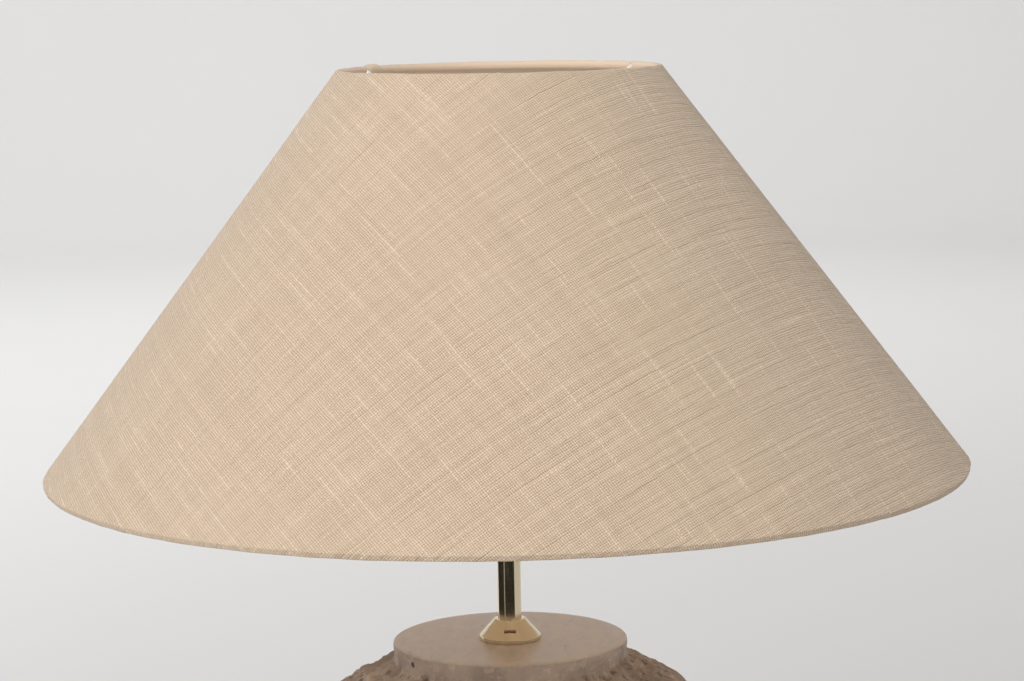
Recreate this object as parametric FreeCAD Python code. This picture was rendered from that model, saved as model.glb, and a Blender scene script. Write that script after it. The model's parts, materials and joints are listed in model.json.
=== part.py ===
"""Table lamp with a wide cone shade: a rough cast jar base, a brass stem, a harp and a linen shade.

Millimetres, +Z up. The origin is the centre of the felt pad's underside, the front is -Y.
Each sub-part is written to parts/NODE.step. From the bottom up:
  base      hollow jar, board cover, felt pad, cord bush at the back
  stem      threaded rod through the jar's top, nut and washers below it, collar and cover tube above
  holder    harp saddle, two-part brass holder with its liner, switch body, screw shell and contacts
  harp      wire loop on the saddle, locked by two ferrules, with a swivelling stud on top
  bulb      lamp with a screw cap
  shade     cloth over a stiff lining, a top frame with three arms and a bottom ring, held by a finial
"""
import FreeCAD
import Part

import math
import os

V = FreeCAD.Vector
AXIS = V(0, 0, 1)

# Base: a jar on a straight foot, with a short straight neck
JAR_TOP = 300.0            # height of the flat top face
NECK_R = 64.5
NECK_DROP = 9.5            # visible height of the neck
EDGE_ROUND = 1.2           # rounded edge of the top face
BELLY_R = 145.0
BELLY_Z = 173.5
SHOULDER_ARC = 126.3       # radius of the arc from belly to neck
FLANK_ARC = 231.0          # radius of the arc from belly to foot
FOOT_R = 92.0
FOOT_TOP = 28.0
WALL = 9.0
TOP_THICK = 10.0
FELT_THICK = 3.0
FELT_R = 91.0
COVER_THICK = 4.0
COVER_R = 86.2
COVER_RECESS_R = 86.5

# Cord entry at the back of the foot
CORD_Z = 17.0
CORD_HOLE_R = 6.2
BUSH_BORE_R = 3.4
BUSH_FLANGE_R = 8.6
BUSH_FLANGE = 2.2

# Stem: M10 hollow rod inside a cover tube
ROD_R = 5.0
ROD_BORE_R = 3.75
ROD_HOLE_R = 5.2
TUBE_R = 6.5
TUBE_WALL = 0.9
COLLAR_R = 17.0
COLLAR_TOP_R = 8.3
COLLAR_LIP = 2.2
COLLAR_H = 11.4
COLLAR_SEAT = 6.0          # depth of the tube's seat in the collar
SLOT_W = 6.4               # spanner slots in the collar
SLOT_H = 1.7
SLOT_DEPTH = 3.0
NUT_AF = 14.0
NUT_H = 5.0

# Shade: a cone of cloth rolled round two wire rings
SHADE_BOTTOM_Z = 396.0
SHADE_TOP_Z = 613.5
SHADE_BOTTOM_R = 250.0
SHADE_TOP_R = 88.4
ROLL_R = 2.5               # outer radius of the rolled edges
CLOTH = 0.7
WIRE_R = 1.6
LINING = 0.6
LINING_IN = 1.6            # how far the lining stops short of each ring's centre
CURL = 45.0                # how far the cloth tucks under past a half turn, in degrees
ARMS = 3
ARM_R = 1.5
ARM_BEND = 14.0
ARM_FLAT_R = 50.0          # the arms are level out to here
ARM_HIGH = 0.9             # the arms meet the ring this far above its centre
ARM_PROUD = 1.0            # and end this far past it
FRONT = -90.0              # one arm points to the front
HUB_R = 11.0
HUB_THICK = 2.0

# Harp and its saddle
SADDLE_Z = 406.0           # underside of the saddle, on the tube's end
SADDLE_THICK = 1.3
SADDLE_W = 9.0
SADDLE_DISC_R = 10.0       # the strip widens to a disc round the rod
SADDLE_HALF = 24.0         # half length of the level part
TAB_X = 28.6               # inner face of the upright tabs
TAB_W = 3.2
TAB_TOP = 424.0
HARP_WIRE_R = 1.7
HARP_LEG_X = 31.6
HARP_LEG_FOOT = 411.0
HARP_BEND_Z = 432.0        # the legs are straight up to here
HARP_HALF_W = 57.0
HARP_TOP_Z = 578.3         # wire centre at the top
HARP_TOP_ARC = 50.0
PAD_L = 15.0
PAD_W = 9.0
FERRULE_R = 3.7
FERRULE_BORE_R = 3.0
FERRULE_X = 30.6
FERRULE_H = 12.0
FERRULE_Z = 412.0

# Swivelling stud and finial
STUD_R = 3.0
STUD_TOP = 594.5
RIVET_R = 2.4
RIVET_HEAD_R = 3.8
FLANGE_R = 6.0
FLANGE_THICK = 1.5
INSERT_R = 4.2
INSERT_BORE_R = 3.1
INSERT_H = 9.0
FINIAL_BALL_R = 8.0
FINIAL_BALL_Z = 593.6
FINIAL_BASE_R = 7.5

# Lamp holder for a 26 mm screw cap
CAP_HUB_R = 8.5
CAP_SKIN = 0.8
CAP_R = 18.1
CAP_TOP = 431.0
SHELL_R = 17.2
SHELL_SKIN = 0.6
SHELL_Z = (427.0, 468.0)
LINER_GAP = 0.1
LINER_SKIN = 0.8
BODY_R = 13.5
BODY_Z = (421.0, 441.0)
BODY_FLANGE_Z = (423.0, 426.8)   # held between the cap's bell and the shell's foot
TERMINAL_Z = 432.0
SCREW_R = 14.4
SCREW_SKIN = 0.7
SCREW_Z = (441.0, 464.0)
ROD_TOP = 417.0
KEY_Z = 436.0
KEY_R = 1.6
KEY_KNOB_Y = (-23.0, -37.0)

# Bulb
BULB_TIP_Z = 444.5
BULB_R = 30.0
BULB_H = 108.0
BULB_CAP_R = 12.9
BULB_THREAD = 0.35
BULB_PITCH = 3.62
BULB_NECK = (14.0, 474.0)  # radius and height where the housing leaves the cap
BULB_JOIN_Z = 512.0        # where the dome meets the housing


def line(*points):
    """Straight edges through (radius, height) points in the XZ plane."""
    ends = [V(x, 0, z) for x, z in points]
    return [Part.makeLine(a, b) for a, b in zip(ends, ends[1:])]


def arc(a, through, b):
    """One arc through three (radius, height) points in the XZ plane."""
    return [Part.Arc(*(V(x, 0, z) for x, z in (a, through, b))).toShape()]


def on_circle(centre, radius, degrees):
    t = math.radians(degrees)
    return (centre[0] + radius * math.cos(t), centre[1] + radius * math.sin(t))


def swing(centre, radius, start, end):
    """An arc about centre, from start to end in degrees."""
    return arc(*(on_circle(centre, radius, t) for t in (start, (start + end) / 2, end)))


def turned(edges):
    """The solid that a closed outline of edges sweeps about the Z axis."""
    face = Part.Face(Part.Wire(Part.__sortEdges__(edges)))
    return face.revolve(V(0, 0, 0), AXIS, 360)


def turned_points(*points):
    return turned(line(*points, points[0]))


def post(radius, low, high, x=0.0, y=0.0):
    return Part.makeCylinder(radius, high - low, V(x, y, low), AXIS)


def tube(outer, inner, low, high, x=0.0, y=0.0):
    return post(outer, low, high, x, y).cut(post(inner, low - 1, high + 1, x, y))


def rod_y(radius, near, far, z, x=0.0):
    """A cylinder along -Y, from near to far."""
    return Part.makeCylinder(radius, near - far, V(x, near, z), V(0, -1, 0))


def piped(edges, start, direction, radius):
    """A round bar of the given radius along a path of edges."""
    section = Part.Wire([Part.Circle(start, direction, radius).toShape()])
    return Part.Wire(edges).makePipeShell([section], True, True)


def spun(shape, degrees):
    copy = shape.copy()
    copy.rotate(V(0, 0, 0), AXIS, degrees)
    return copy


def height_on(centre, radius, x):
    """Height at radius x of an arc about centre, on its upper side."""
    return centre[1] + math.sqrt(radius ** 2 - (x - centre[0]) ** 2)


def radius_on(centre, radius, z):
    """Radius at height z of an arc about centre, on its outer side."""
    return centre[0] + math.sqrt(radius ** 2 - (z - centre[1]) ** 2)


# ---------------------------------------------------------------- base

def jar_outline(inset):
    """Edges of the jar's flank and shoulder, set in by inset, from the foot's top up to the neck."""
    shoulder = (BELLY_R - SHOULDER_ARC, BELLY_Z)
    flank = (BELLY_R - FLANK_ARC, BELLY_Z)
    neck_r = NECK_R - inset if inset else NECK_R + 1.5
    low = (radius_on(flank, FLANK_ARC - inset, FOOT_TOP + 2), FOOT_TOP + 2)
    belly = (BELLY_R - inset, BELLY_Z)
    top = (neck_r, height_on(shoulder, SHOULDER_ARC - inset, neck_r))
    mid_low = (radius_on(flank, FLANK_ARC - inset, (low[1] + BELLY_Z) / 2), (low[1] + BELLY_Z) / 2)
    mid_top = on_circle(shoulder, SHOULDER_ARC - inset, 34)
    return low, top, arc(low, mid_low, belly) + arc(belly, mid_top, top)


def base_body():
    low, top, flank = jar_outline(0)
    in_low, in_top, in_flank = jar_outline(WALL)
    neck_foot = JAR_TOP - NECK_DROP + 2
    floor = FELT_THICK
    ledge = floor + COVER_THICK
    foot_in = FOOT_R - WALL
    outline = line((FOOT_R, floor), (FOOT_R, FOOT_TOP), low) + flank
    outline += line(top, (NECK_R, neck_foot), (NECK_R, JAR_TOP - EDGE_ROUND))
    outline += swing((NECK_R - EDGE_ROUND, JAR_TOP - EDGE_ROUND), EDGE_ROUND, 0, 90)
    outline += line((NECK_R - EDGE_ROUND, JAR_TOP), (ROD_HOLE_R, JAR_TOP), (ROD_HOLE_R, JAR_TOP - TOP_THICK),
                    (in_top[0], JAR_TOP - TOP_THICK), in_top)
    outline += in_flank
    outline += line(in_low, (foot_in, FOOT_TOP), (foot_in, ledge), (COVER_RECESS_R, ledge),
                    (COVER_RECESS_R, floor), (FOOT_R, floor))
    return turned(outline).cut(rod_y(CORD_HOLE_R, FOOT_R + 5, foot_in - 5, CORD_Z))


def base_cover():
    return post(COVER_R, FELT_THICK, FELT_THICK + COVER_THICK)


def felt_pad():
    return post(FELT_R, 0, FELT_THICK)


def cord_bush():
    """Snap-in bush: an outer flange, a barrel through the wall and an inner snap ring."""
    inside = FOOT_R - WALL
    flange = rod_y(BUSH_FLANGE_R, FOOT_R + BUSH_FLANGE, inside, CORD_Z).cut(post(FOOT_R, 0, FOOT_TOP + 9))
    barrel = rod_y(CORD_HOLE_R - 0.1, FOOT_R, inside - 0.5, CORD_Z)
    ring = rod_y(CORD_HOLE_R + 0.8, inside, inside - 3, CORD_Z).common(post(inside, 0, FOOT_TOP + 9))
    bush = flange.fuse(barrel).fuse(ring)
    return bush.cut(rod_y(BUSH_BORE_R, FOOT_R + 9, inside - 9, CORD_Z)).removeSplitter()


# ---------------------------------------------------------------- stem

UNDER_TOP = JAR_TOP - TOP_THICK
WASHER = 2.0
LOCK_WASHER = 1.0


def threaded_rod():
    return tube(ROD_R, ROD_BORE_R, UNDER_TOP - WASHER - LOCK_WASHER - NUT_H - 5, ROD_TOP)


def rod_washer():
    return tube(22.0, ROD_HOLE_R, UNDER_TOP - WASHER, UNDER_TOP)


def lock_washer():
    """A flat washer with teeth round its edge."""
    high = UNDER_TOP - WASHER
    low = high - LOCK_WASHER
    washer = tube(9.5, ROD_HOLE_R, low, high)
    teeth = 12
    for i in range(teeth):
        gap = Part.makeBox(1.6, 2.4, LOCK_WASHER + 2, V(-0.8, 7.9, low - 1))
        washer = washer.cut(spun(gap, 360 * i / teeth))
    return washer


def hexagon(across_flats, low, high):
    r = across_flats / math.sqrt(3)
    corners = [V(*on_circle((0, 0), r, 60 * i), low) for i in range(7)]
    return Part.Face(Part.makePolygon(corners)).extrude(V(0, 0, high - low))


def rod_nut():
    high = UNDER_TOP - WASHER - LOCK_WASHER
    low = high - NUT_H
    corner = NUT_AF / math.sqrt(3)
    flat = NUT_AF / 2
    bevel = corner - flat
    limit = turned_points((0, low), (flat, low), (corner, low + bevel), (corner, high - bevel), (flat, high), (0, high))
    return hexagon(NUT_AF, low, high).common(limit).cut(post(ROD_R + 0.05, low - 1, high + 1))


def collar():
    """Truncated cone on a thin lip, with a seat for the tube and two spanner slots."""
    low = JAR_TOP
    high = JAR_TOP + COLLAR_H
    seat_r = TUBE_R + 0.05
    slope_z = low + COLLAR_LIP
    cone = turned_points((ROD_HOLE_R, low), (COLLAR_R - 0.5, low), (COLLAR_R, low + 0.5), (COLLAR_R, slope_z - 0.4),
                         (COLLAR_R - 0.5, slope_z), (COLLAR_TOP_R, high - 0.4), (COLLAR_TOP_R - 0.5, high),
                         (seat_r, high), (seat_r, high - COLLAR_SEAT), (ROD_HOLE_R, high - COLLAR_SEAT))
    slot_r = (COLLAR_R + COLLAR_TOP_R) / 2
    slot_z = (slope_z + high) / 2 - 0.6
    slot = Part.makeBox(SLOT_W, SLOT_DEPTH * 2, SLOT_H, V(-SLOT_W / 2, -SLOT_DEPTH, -SLOT_H / 2))
    slot.rotate(V(0, 0, 0), V(1, 0, 0), -40)
    slot.translate(V(0, -slot_r, slot_z))
    return cone.cut(slot).cut(spun(slot, 180))


def cover_tube():
    return tube(TUBE_R, TUBE_R - TUBE_WALL, JAR_TOP + COLLAR_H - COLLAR_SEAT, SADDLE_Z)


# ---------------------------------------------------------------- harp and saddle

def harp_saddle():
    """Bent strip: a disc under the holder, then arms rising outwards to narrow upright tabs."""
    low = SADDLE_Z
    high = low + SADDLE_THICK
    tab_out = TAB_X + 1.2
    half = [(0, low), (SADDLE_HALF + 0.6, low), (tab_out, low + 5.5), (tab_out, TAB_TOP), (TAB_X, TAB_TOP),
            (TAB_X, low + 6.2), (SADDLE_HALF, high), (0, high)]
    outline = half + [(-x, z) for x, z in reversed(half[1:-1])]
    corners = [V(x, -SADDLE_W / 2, z) for x, z in outline]
    strip = Part.Face(Part.makePolygon(corners + corners[:1])).extrude(V(0, SADDLE_W, 0))
    for side in (-1, 1):
        for edge in (-1, 1):
            trim = Part.makeBox(8, SADDLE_W, TAB_TOP - low, V(-4, 0, FERRULE_Z - 0.2))
            trim.translate(V(side * (TAB_X + 1), TAB_W / 2 if edge > 0 else -TAB_W / 2 - SADDLE_W, 0))
            strip = strip.cut(trim)
    return strip.fuse(post(SADDLE_DISC_R, low, high)).cut(post(ROD_R + 0.15, low - 1, high + 1)).removeSplitter()


def harp():
    """Wire loop: straight legs, a long outward bend, a round shoulder and a flat top with a pad for the stud."""
    end = HARP_TOP_Z - HARP_BEND_Z - HARP_TOP_ARC
    bulge = HARP_HALF_W - HARP_LEG_X
    bend = 2 * math.atan2(bulge, end)
    low_arc = end / math.sin(bend) - HARP_TOP_ARC
    low_centre = (HARP_LEG_X + low_arc, HARP_BEND_Z)
    top_centre = (HARP_HALF_W - HARP_TOP_ARC, HARP_TOP_Z - HARP_TOP_ARC)
    turn = math.degrees(bend)
    right = line((HARP_LEG_X, HARP_LEG_FOOT), (HARP_LEG_X, HARP_BEND_Z))
    right += swing(low_centre, low_arc, 180, 180 - turn)
    right += swing(top_centre, HARP_TOP_ARC, -turn, 90)
    top = line((top_centre[0], HARP_TOP_Z), (-top_centre[0], HARP_TOP_Z))
    left = [e.mirror(V(0, 0, 0), V(1, 0, 0)) for e in reversed(right)]
    loop = piped(right + top + left, V(HARP_LEG_X, 0, HARP_LEG_FOOT), AXIS, HARP_WIRE_R)
    pad = Part.makeBox(PAD_L, PAD_W, 2 * HARP_WIRE_R, V(-PAD_L / 2, -PAD_W / 2, HARP_TOP_Z - HARP_WIRE_R))
    pad = pad.makeFillet(2.5, [e for e in pad.Edges if abs(e.tangentAt(e.FirstParameter).z) > 0.9])
    return loop.fuse(pad).cut(post(RIVET_R + 0.1, HARP_TOP_Z - 5, HARP_TOP_Z + 5))


def ferrule(side):
    """Sleeve with a rolled lower rim, over a harp leg and its saddle tab."""
    x = side * FERRULE_X
    high = FERRULE_Z + FERRULE_H
    sleeve = post(FERRULE_R, FERRULE_Z, high, x).fuse(post(FERRULE_R + 0.7, FERRULE_Z, FERRULE_Z + 2, x))
    return sleeve.cut(post(FERRULE_BORE_R, FERRULE_Z - 1, high + 1, x))


PAD_TOP = HARP_TOP_Z + HARP_WIRE_R
FLANGE_Z = PAD_TOP + 0.1
HUB_Z = FLANGE_Z + FLANGE_THICK + 0.1
SEAT_Z = HUB_Z + HUB_THICK + 0.1


def harp_stud():
    """Rivet through the harp's pad, flange under the shade's hub, and the finial's thread."""
    rivet_end = HARP_TOP_Z - HARP_WIRE_R - 0.1
    return turned_points((0, rivet_end - 1.6), (RIVET_HEAD_R - 0.8, rivet_end - 1.6), (RIVET_HEAD_R, rivet_end - 0.8),
                         (RIVET_HEAD_R, rivet_end), (RIVET_R, rivet_end), (RIVET_R, FLANGE_Z), (FLANGE_R, FLANGE_Z),
                         (FLANGE_R, FLANGE_Z + FLANGE_THICK), (STUD_R, FLANGE_Z + FLANGE_THICK),
                         (STUD_R, STUD_TOP - 0.6), (STUD_R - 0.6, STUD_TOP), (0, STUD_TOP))


def finial_insert():
    return tube(INSERT_R, INSERT_BORE_R, SEAT_Z, SEAT_Z + INSERT_H)


def finial_knob():
    """Turned knob: a base disc, a waist and a ball, hollow for the insert and the stud's end."""
    ball = (0, FINIAL_BALL_Z)
    low = SEAT_Z
    waist = (5.3, low + 4.0)
    pocket_r = INSERT_R + 0.05
    pocket_z = low + INSERT_H + 0.1
    meets = math.degrees(math.asin((waist[1] + 1.6 - FINIAL_BALL_Z) / FINIAL_BALL_R))
    start = on_circle(ball, FINIAL_BALL_R, meets)
    outline = line((pocket_r, low), (FINIAL_BASE_R, low), (FINIAL_BASE_R, low + 1.6))
    outline += arc((FINIAL_BASE_R, low + 1.6), (5.9, low + 2.4), waist) + line(waist, start)
    outline += swing(ball, FINIAL_BALL_R, meets, 90)
    outline += line((0, FINIAL_BALL_Z + FINIAL_BALL_R), (0, STUD_TOP + 1.5), (STUD_R + 0.3, STUD_TOP + 1.5),
                    (STUD_R + 0.3, pocket_z), (pocket_r, pocket_z), (pocket_r, low))
    return turned(outline)


# ---------------------------------------------------------------- lamp holder

def socket_cap():
    """Lower half of the holder: a threaded hub, a bell and a skirt round the shell."""
    low = SADDLE_Z + SADDLE_THICK
    hub_in = ROD_R + 0.05
    skirt_in = CAP_R - CAP_SKIN
    return turned_points((hub_in, low), (CAP_HUB_R, low), (CAP_HUB_R, low + 5.5), (CAP_HUB_R + 5, low + 9),
                         (CAP_R, low + 15), (CAP_R, CAP_TOP), (skirt_in, CAP_TOP), (skirt_in, low + 15.4),
                         (CAP_HUB_R + 4.4, low + 9.8), (CAP_HUB_R - 0.4, low + 7), (hub_in, low + 7))


def socket_shell():
    """Upper half of the holder, with a bead at its mouth and a hole for the key."""
    low, high = SHELL_Z
    inner = SHELL_R - SHELL_SKIN
    shell = turned_points((inner, low), (SHELL_R, low), (SHELL_R, high - 5), (SHELL_R + 0.6, high - 4),
                          (SHELL_R, high - 3), (SHELL_R, high), (inner - 1, high), (inner - 1, high - SHELL_SKIN),
                          (inner, high - SHELL_SKIN))
    return shell.cut(rod_y(KEY_R + 0.6, 0, -SHELL_R - 5, KEY_Z))


def socket_liner():
    outer = SHELL_R - SHELL_SKIN - LINER_GAP
    liner = tube(outer, outer - LINER_SKIN, SHELL_Z[0] + 2, SHELL_Z[1] - 2)
    return liner.cut(rod_y(KEY_R + 0.9, 0, -SHELL_R - 5, KEY_Z))


def socket_body():
    """Moulded switch body on a flange, bored for the key's shaft and for the two terminal screws."""
    low, high = BODY_Z
    flange_low, flange_high = BODY_FLANGE_Z
    flange_r = CAP_R - CAP_SKIN - 0.2
    body = turned_points((0, low), (BODY_R - 1, low), (BODY_R, low + 1), (BODY_R, flange_low), (flange_r, flange_low),
                         (flange_r, flange_high), (BODY_R, flange_high), (BODY_R, high), (0, high))
    body = body.cut(rod_y(KEY_R + 0.05, -4, -BODY_R - 1, KEY_Z))
    for side in (-1, 1):
        seat = Part.makeCylinder(2.3, 4, V(side * (BODY_R - 2), 0, TERMINAL_Z), V(side, 0, 0))
        body = body.cut(seat)
    return body


def terminal_screws():
    """Two round-head screws in the sides of the switch body."""
    screws = []
    for side in (-1, 1):
        head = Part.makeCylinder(2.2, 3.4, V(side * (BODY_R - 2), 0, TERMINAL_Z), V(side, 0, 0))
        slot = Part.makeBox(1.2, 5, 0.6, V(side * (BODY_R + 0.9) - 0.6, -2.5, TERMINAL_Z - 0.3))
        screws.append(head.cut(slot))
    return Part.makeCompound(screws)


def thread_outline(radius, depth, low, high, pitch):
    """Points of a wavy wall: rings of thread crests depth high, from low to high."""
    points = []
    z = low
    while z + pitch <= high:
        points += [(radius, z), (radius + depth, z + pitch * 0.3), (radius + depth, z + pitch * 0.6)]
        z += pitch
    return points + [(radius, z), (radius, high)]


def screw_shell():
    low, high = SCREW_Z
    inner = SCREW_R - SCREW_SKIN
    return turned_points((inner - 5, low), (SCREW_R, low), (SCREW_R, high), (inner, high), (inner, low + SCREW_SKIN),
                         (inner - 5, low + SCREW_SKIN))


def centre_contact():
    """Springy tongue that the bulb's tip presses on."""
    z = BODY_Z[1]
    outline = [(-7, z), (-3, z), (3.6, z + 2.4), (3.6, z + 2.9), (-3.2, z + 0.6), (-7, z + 0.6)]
    corners = [V(x, -2, h) for x, h in outline]
    return Part.Face(Part.makePolygon(corners + corners[:1])).extrude(V(0, 4, 0))


def key_shaft():
    return rod_y(KEY_R, -5, KEY_KNOB_Y[0] - 6, KEY_Z)


def key_knob():
    """Flat turn key with rounded edges, on the end of its shaft."""
    near, far = KEY_KNOB_Y
    neck = rod_y(3.6, near + 2, near - 3, KEY_Z)
    paddle = Part.makeBox(14, near - far - 2, 5, V(-7, far, KEY_Z - 2.5))
    paddle = paddle.makeFillet(2.2, paddle.Edges)
    return paddle.fuse(neck).cut(rod_y(KEY_R, near + 9, near - 6, KEY_Z)).removeSplitter()


# ---------------------------------------------------------------- bulb

def bulb_contact():
    return turned_points((0, BULB_TIP_Z), (3.4, BULB_TIP_Z), (4.4, BULB_TIP_Z + 0.8), (4.4, BULB_TIP_Z + 2),
                         (0, BULB_TIP_Z + 2))


def bulb_insulator():
    low = BULB_TIP_Z + 2
    return turned_points((0, low), (6, low), (BULB_CAP_R - 1.2, low + 3.4), (BULB_CAP_R - 1.2, low + 5), (0, low + 5))


def bulb_cap():
    """Thin screw cap: plain foot ring, rolled thread and a plain rim."""
    low = BULB_TIP_Z + 5.4
    high = BULB_NECK[1]
    inner = BULB_CAP_R - 0.5
    wall = thread_outline(BULB_CAP_R, BULB_THREAD, low + 1.6, high - 4, BULB_PITCH)
    return turned_points((inner - 0.6, low), (BULB_CAP_R - 0.8, low), *wall, (BULB_CAP_R, high), (inner, high),
                         (inner, low + 2.2), (inner - 0.6, low + 2.2))


def bulb_housing():
    """Tapered body from the cap to the dome, closed by a floor inside the cap."""
    neck_r, neck_z = BULB_NECK
    join_r = math.sqrt(BULB_R ** 2 - (BULB_TIP_Z + BULB_H - BULB_R - BULB_JOIN_Z) ** 2)
    plug = BULB_CAP_R - 0.6
    return turned_points((0, neck_z - 14), (plug, neck_z - 14), (plug, neck_z + 0.1), (neck_r, neck_z + 0.1),
                         (join_r, BULB_JOIN_Z), (join_r - 1.6, BULB_JOIN_Z), (neck_r - 1.8, neck_z + 1.5), (0, neck_z + 1.5))


def bulb_led_plate():
    z = BULB_JOIN_Z - 6
    return post(23.0, z, z + 1.6)


def bulb_dome():
    """Thin dome with a flat rim on the housing."""
    centre = (0, BULB_TIP_Z + BULB_H - BULB_R)
    inner = BULB_R - 1.2
    start = math.degrees(math.asin((BULB_JOIN_Z - centre[1]) / BULB_R))
    inside = math.degrees(math.asin((BULB_JOIN_Z - centre[1]) / inner))
    outline = swing(centre, BULB_R, start, 90) + line((0, centre[1] + BULB_R), (0, centre[1] + inner))
    outline += swing(centre, inner, 90, inside)
    outline += line(on_circle(centre, inner, inside), on_circle(centre, BULB_R, start))
    return turned(outline)


# ---------------------------------------------------------------- shade

TOP_RING = (SHADE_TOP_R - ROLL_R, SHADE_TOP_Z - ROLL_R)
BOTTOM_RING = (SHADE_BOTTOM_R - ROLL_R, SHADE_BOTTOM_Z + ROLL_R)
SLANT = math.hypot(BOTTOM_RING[0] - TOP_RING[0], TOP_RING[1] - BOTTOM_RING[1])
DOWN = ((BOTTOM_RING[0] - TOP_RING[0]) / SLANT, (BOTTOM_RING[1] - TOP_RING[1]) / SLANT)
OUT = (-DOWN[1], DOWN[0])
OUT_ANGLE = math.degrees(math.atan2(OUT[1], OUT[0]))


def beside(ring, along, out):
    """A point at a ring's centre moved along the slope and out from it."""
    return (ring[0] + along * DOWN[0] + out * OUT[0], ring[1] + along * DOWN[1] + out * OUT[1])


def shade_cover():
    """One strip of cloth: a cone whose two edges roll round the rings, slit where the arms pass."""
    inside = ROLL_R - CLOTH
    top_end = OUT_ANGLE + 180 + CURL
    bottom_end = OUT_ANGLE - 180 - CURL
    outline = line(beside(TOP_RING, 0, ROLL_R), beside(BOTTOM_RING, 0, ROLL_R))
    outline += swing(BOTTOM_RING, ROLL_R, OUT_ANGLE, bottom_end)
    outline += line(on_circle(BOTTOM_RING, ROLL_R, bottom_end), on_circle(BOTTOM_RING, inside, bottom_end))
    outline += swing(BOTTOM_RING, inside, bottom_end, OUT_ANGLE)
    outline += line(beside(BOTTOM_RING, 0, inside), beside(TOP_RING, 0, inside))
    outline += swing(TOP_RING, inside, OUT_ANGLE, top_end)
    outline += line(on_circle(TOP_RING, inside, top_end), on_circle(TOP_RING, ROLL_R, top_end))
    outline += swing(TOP_RING, ROLL_R, top_end, OUT_ANGLE)
    cover = turned(outline)
    for i in range(ARMS):
        cover = cover.cut(spun(arm(ARM_R + 0.2, ARM_PROUD + 0.2), FRONT + 360 * i / ARMS))
    return cover


def shade_lining():
    outer = ROLL_R - CLOTH - 0.05
    inner = outer - LINING
    return turned_points(beside(TOP_RING, LINING_IN, outer), beside(BOTTOM_RING, -LINING_IN, outer),
                         beside(BOTTOM_RING, -LINING_IN, inner), beside(TOP_RING, LINING_IN, inner))


def arm(radius, past):
    """One arm along +X: level out from the hub, then rising to the top ring and past its centre."""
    z = HUB_Z + HUB_THICK / 2
    target = (TOP_RING[0], TOP_RING[1] + ARM_HIGH)
    rise = math.atan2(target[1] - z, target[0] - ARM_FLAT_R)
    cut_back = ARM_BEND * math.tan(rise / 2)
    start = (HUB_R - 2, z)
    corner = (ARM_FLAT_R, z)
    level_end = (ARM_FLAT_R - cut_back, z)
    climb = on_circle(corner, cut_back, math.degrees(rise))
    end = on_circle(target, past, math.degrees(rise))
    path = line(start, level_end) + swing((level_end[0], z + ARM_BEND), ARM_BEND, -90, -90 + math.degrees(rise))
    path += line(climb, end)
    return piped(path, V(start[0], 0, z), V(1, 0, 0), radius)


def top_frame():
    """Top ring, three arms and the hub, welded together."""
    ring = Part.makeTorus(TOP_RING[0], WIRE_R, V(0, 0, TOP_RING[1]), AXIS)
    frame = post(HUB_R, HUB_Z, HUB_Z + HUB_THICK).fuse(ring)
    for i in range(ARMS):
        frame = frame.fuse(spun(arm(ARM_R, ARM_PROUD), FRONT + 360 * i / ARMS))
    return frame.cut(post(STUD_R + 0.3, HUB_Z - 3, HUB_Z + HUB_THICK + 3))


def bottom_ring():
    return Part.makeTorus(BOTTOM_RING[0], WIRE_R, V(0, 0, BOTTOM_RING[1]), AXIS)


PARTS = {
    "base_body": base_body,
    "base_cover": base_cover,
    "felt_pad": felt_pad,
    "cord_bush": cord_bush,
    "threaded_rod": threaded_rod,
    "rod_washer": rod_washer,
    "lock_washer": lock_washer,
    "rod_nut": rod_nut,
    "collar": collar,
    "cover_tube": cover_tube,
    "harp_saddle": harp_saddle,
    "harp": harp,
    "ferrule_left": lambda: ferrule(-1),
    "ferrule_right": lambda: ferrule(1),
    "harp_stud": harp_stud,
    "finial_insert": finial_insert,
    "finial_knob": finial_knob,
    "socket_cap": socket_cap,
    "socket_shell": socket_shell,
    "socket_liner": socket_liner,
    "socket_body": socket_body,
    "terminal_screws": terminal_screws,
    "screw_shell": screw_shell,
    "centre_contact": centre_contact,
    "key_shaft": key_shaft,
    "key_knob": key_knob,
    "bulb_contact": bulb_contact,
    "bulb_insulator": bulb_insulator,
    "bulb_cap": bulb_cap,
    "bulb_housing": bulb_housing,
    "bulb_led_plate": bulb_led_plate,
    "bulb_dome": bulb_dome,
    "shade_cover": shade_cover,
    "shade_lining": shade_lining,
    "top_frame": top_frame,
    "bottom_ring": bottom_ring,
}


def main():
    os.makedirs("parts", exist_ok=True)
    for node, build in PARTS.items():
        shape = build()
        state = "ok" if shape.isValid() and all(s.Volume > 0 for s in shape.Solids) else "BAD"
        print(f"{node:16s} {state:3s} solids {len(shape.Solids)} volume {shape.Volume / 1000:9.2f} cm3")
        shape.exportStep(os.path.join("parts", node + ".step"))


main()
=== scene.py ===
"""Looks for a table lamp: a rough cast jar base, a brass stem and harp, and a wide linen cone shade.

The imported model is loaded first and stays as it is. Every operator then builds or finishes one group of
pieces round it. All sizes are in metres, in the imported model's own frame: +Z up, the front at -Y.
"""
import json
import math

import bpy
import numpy as np
from mathutils import Matrix, Vector


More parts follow.
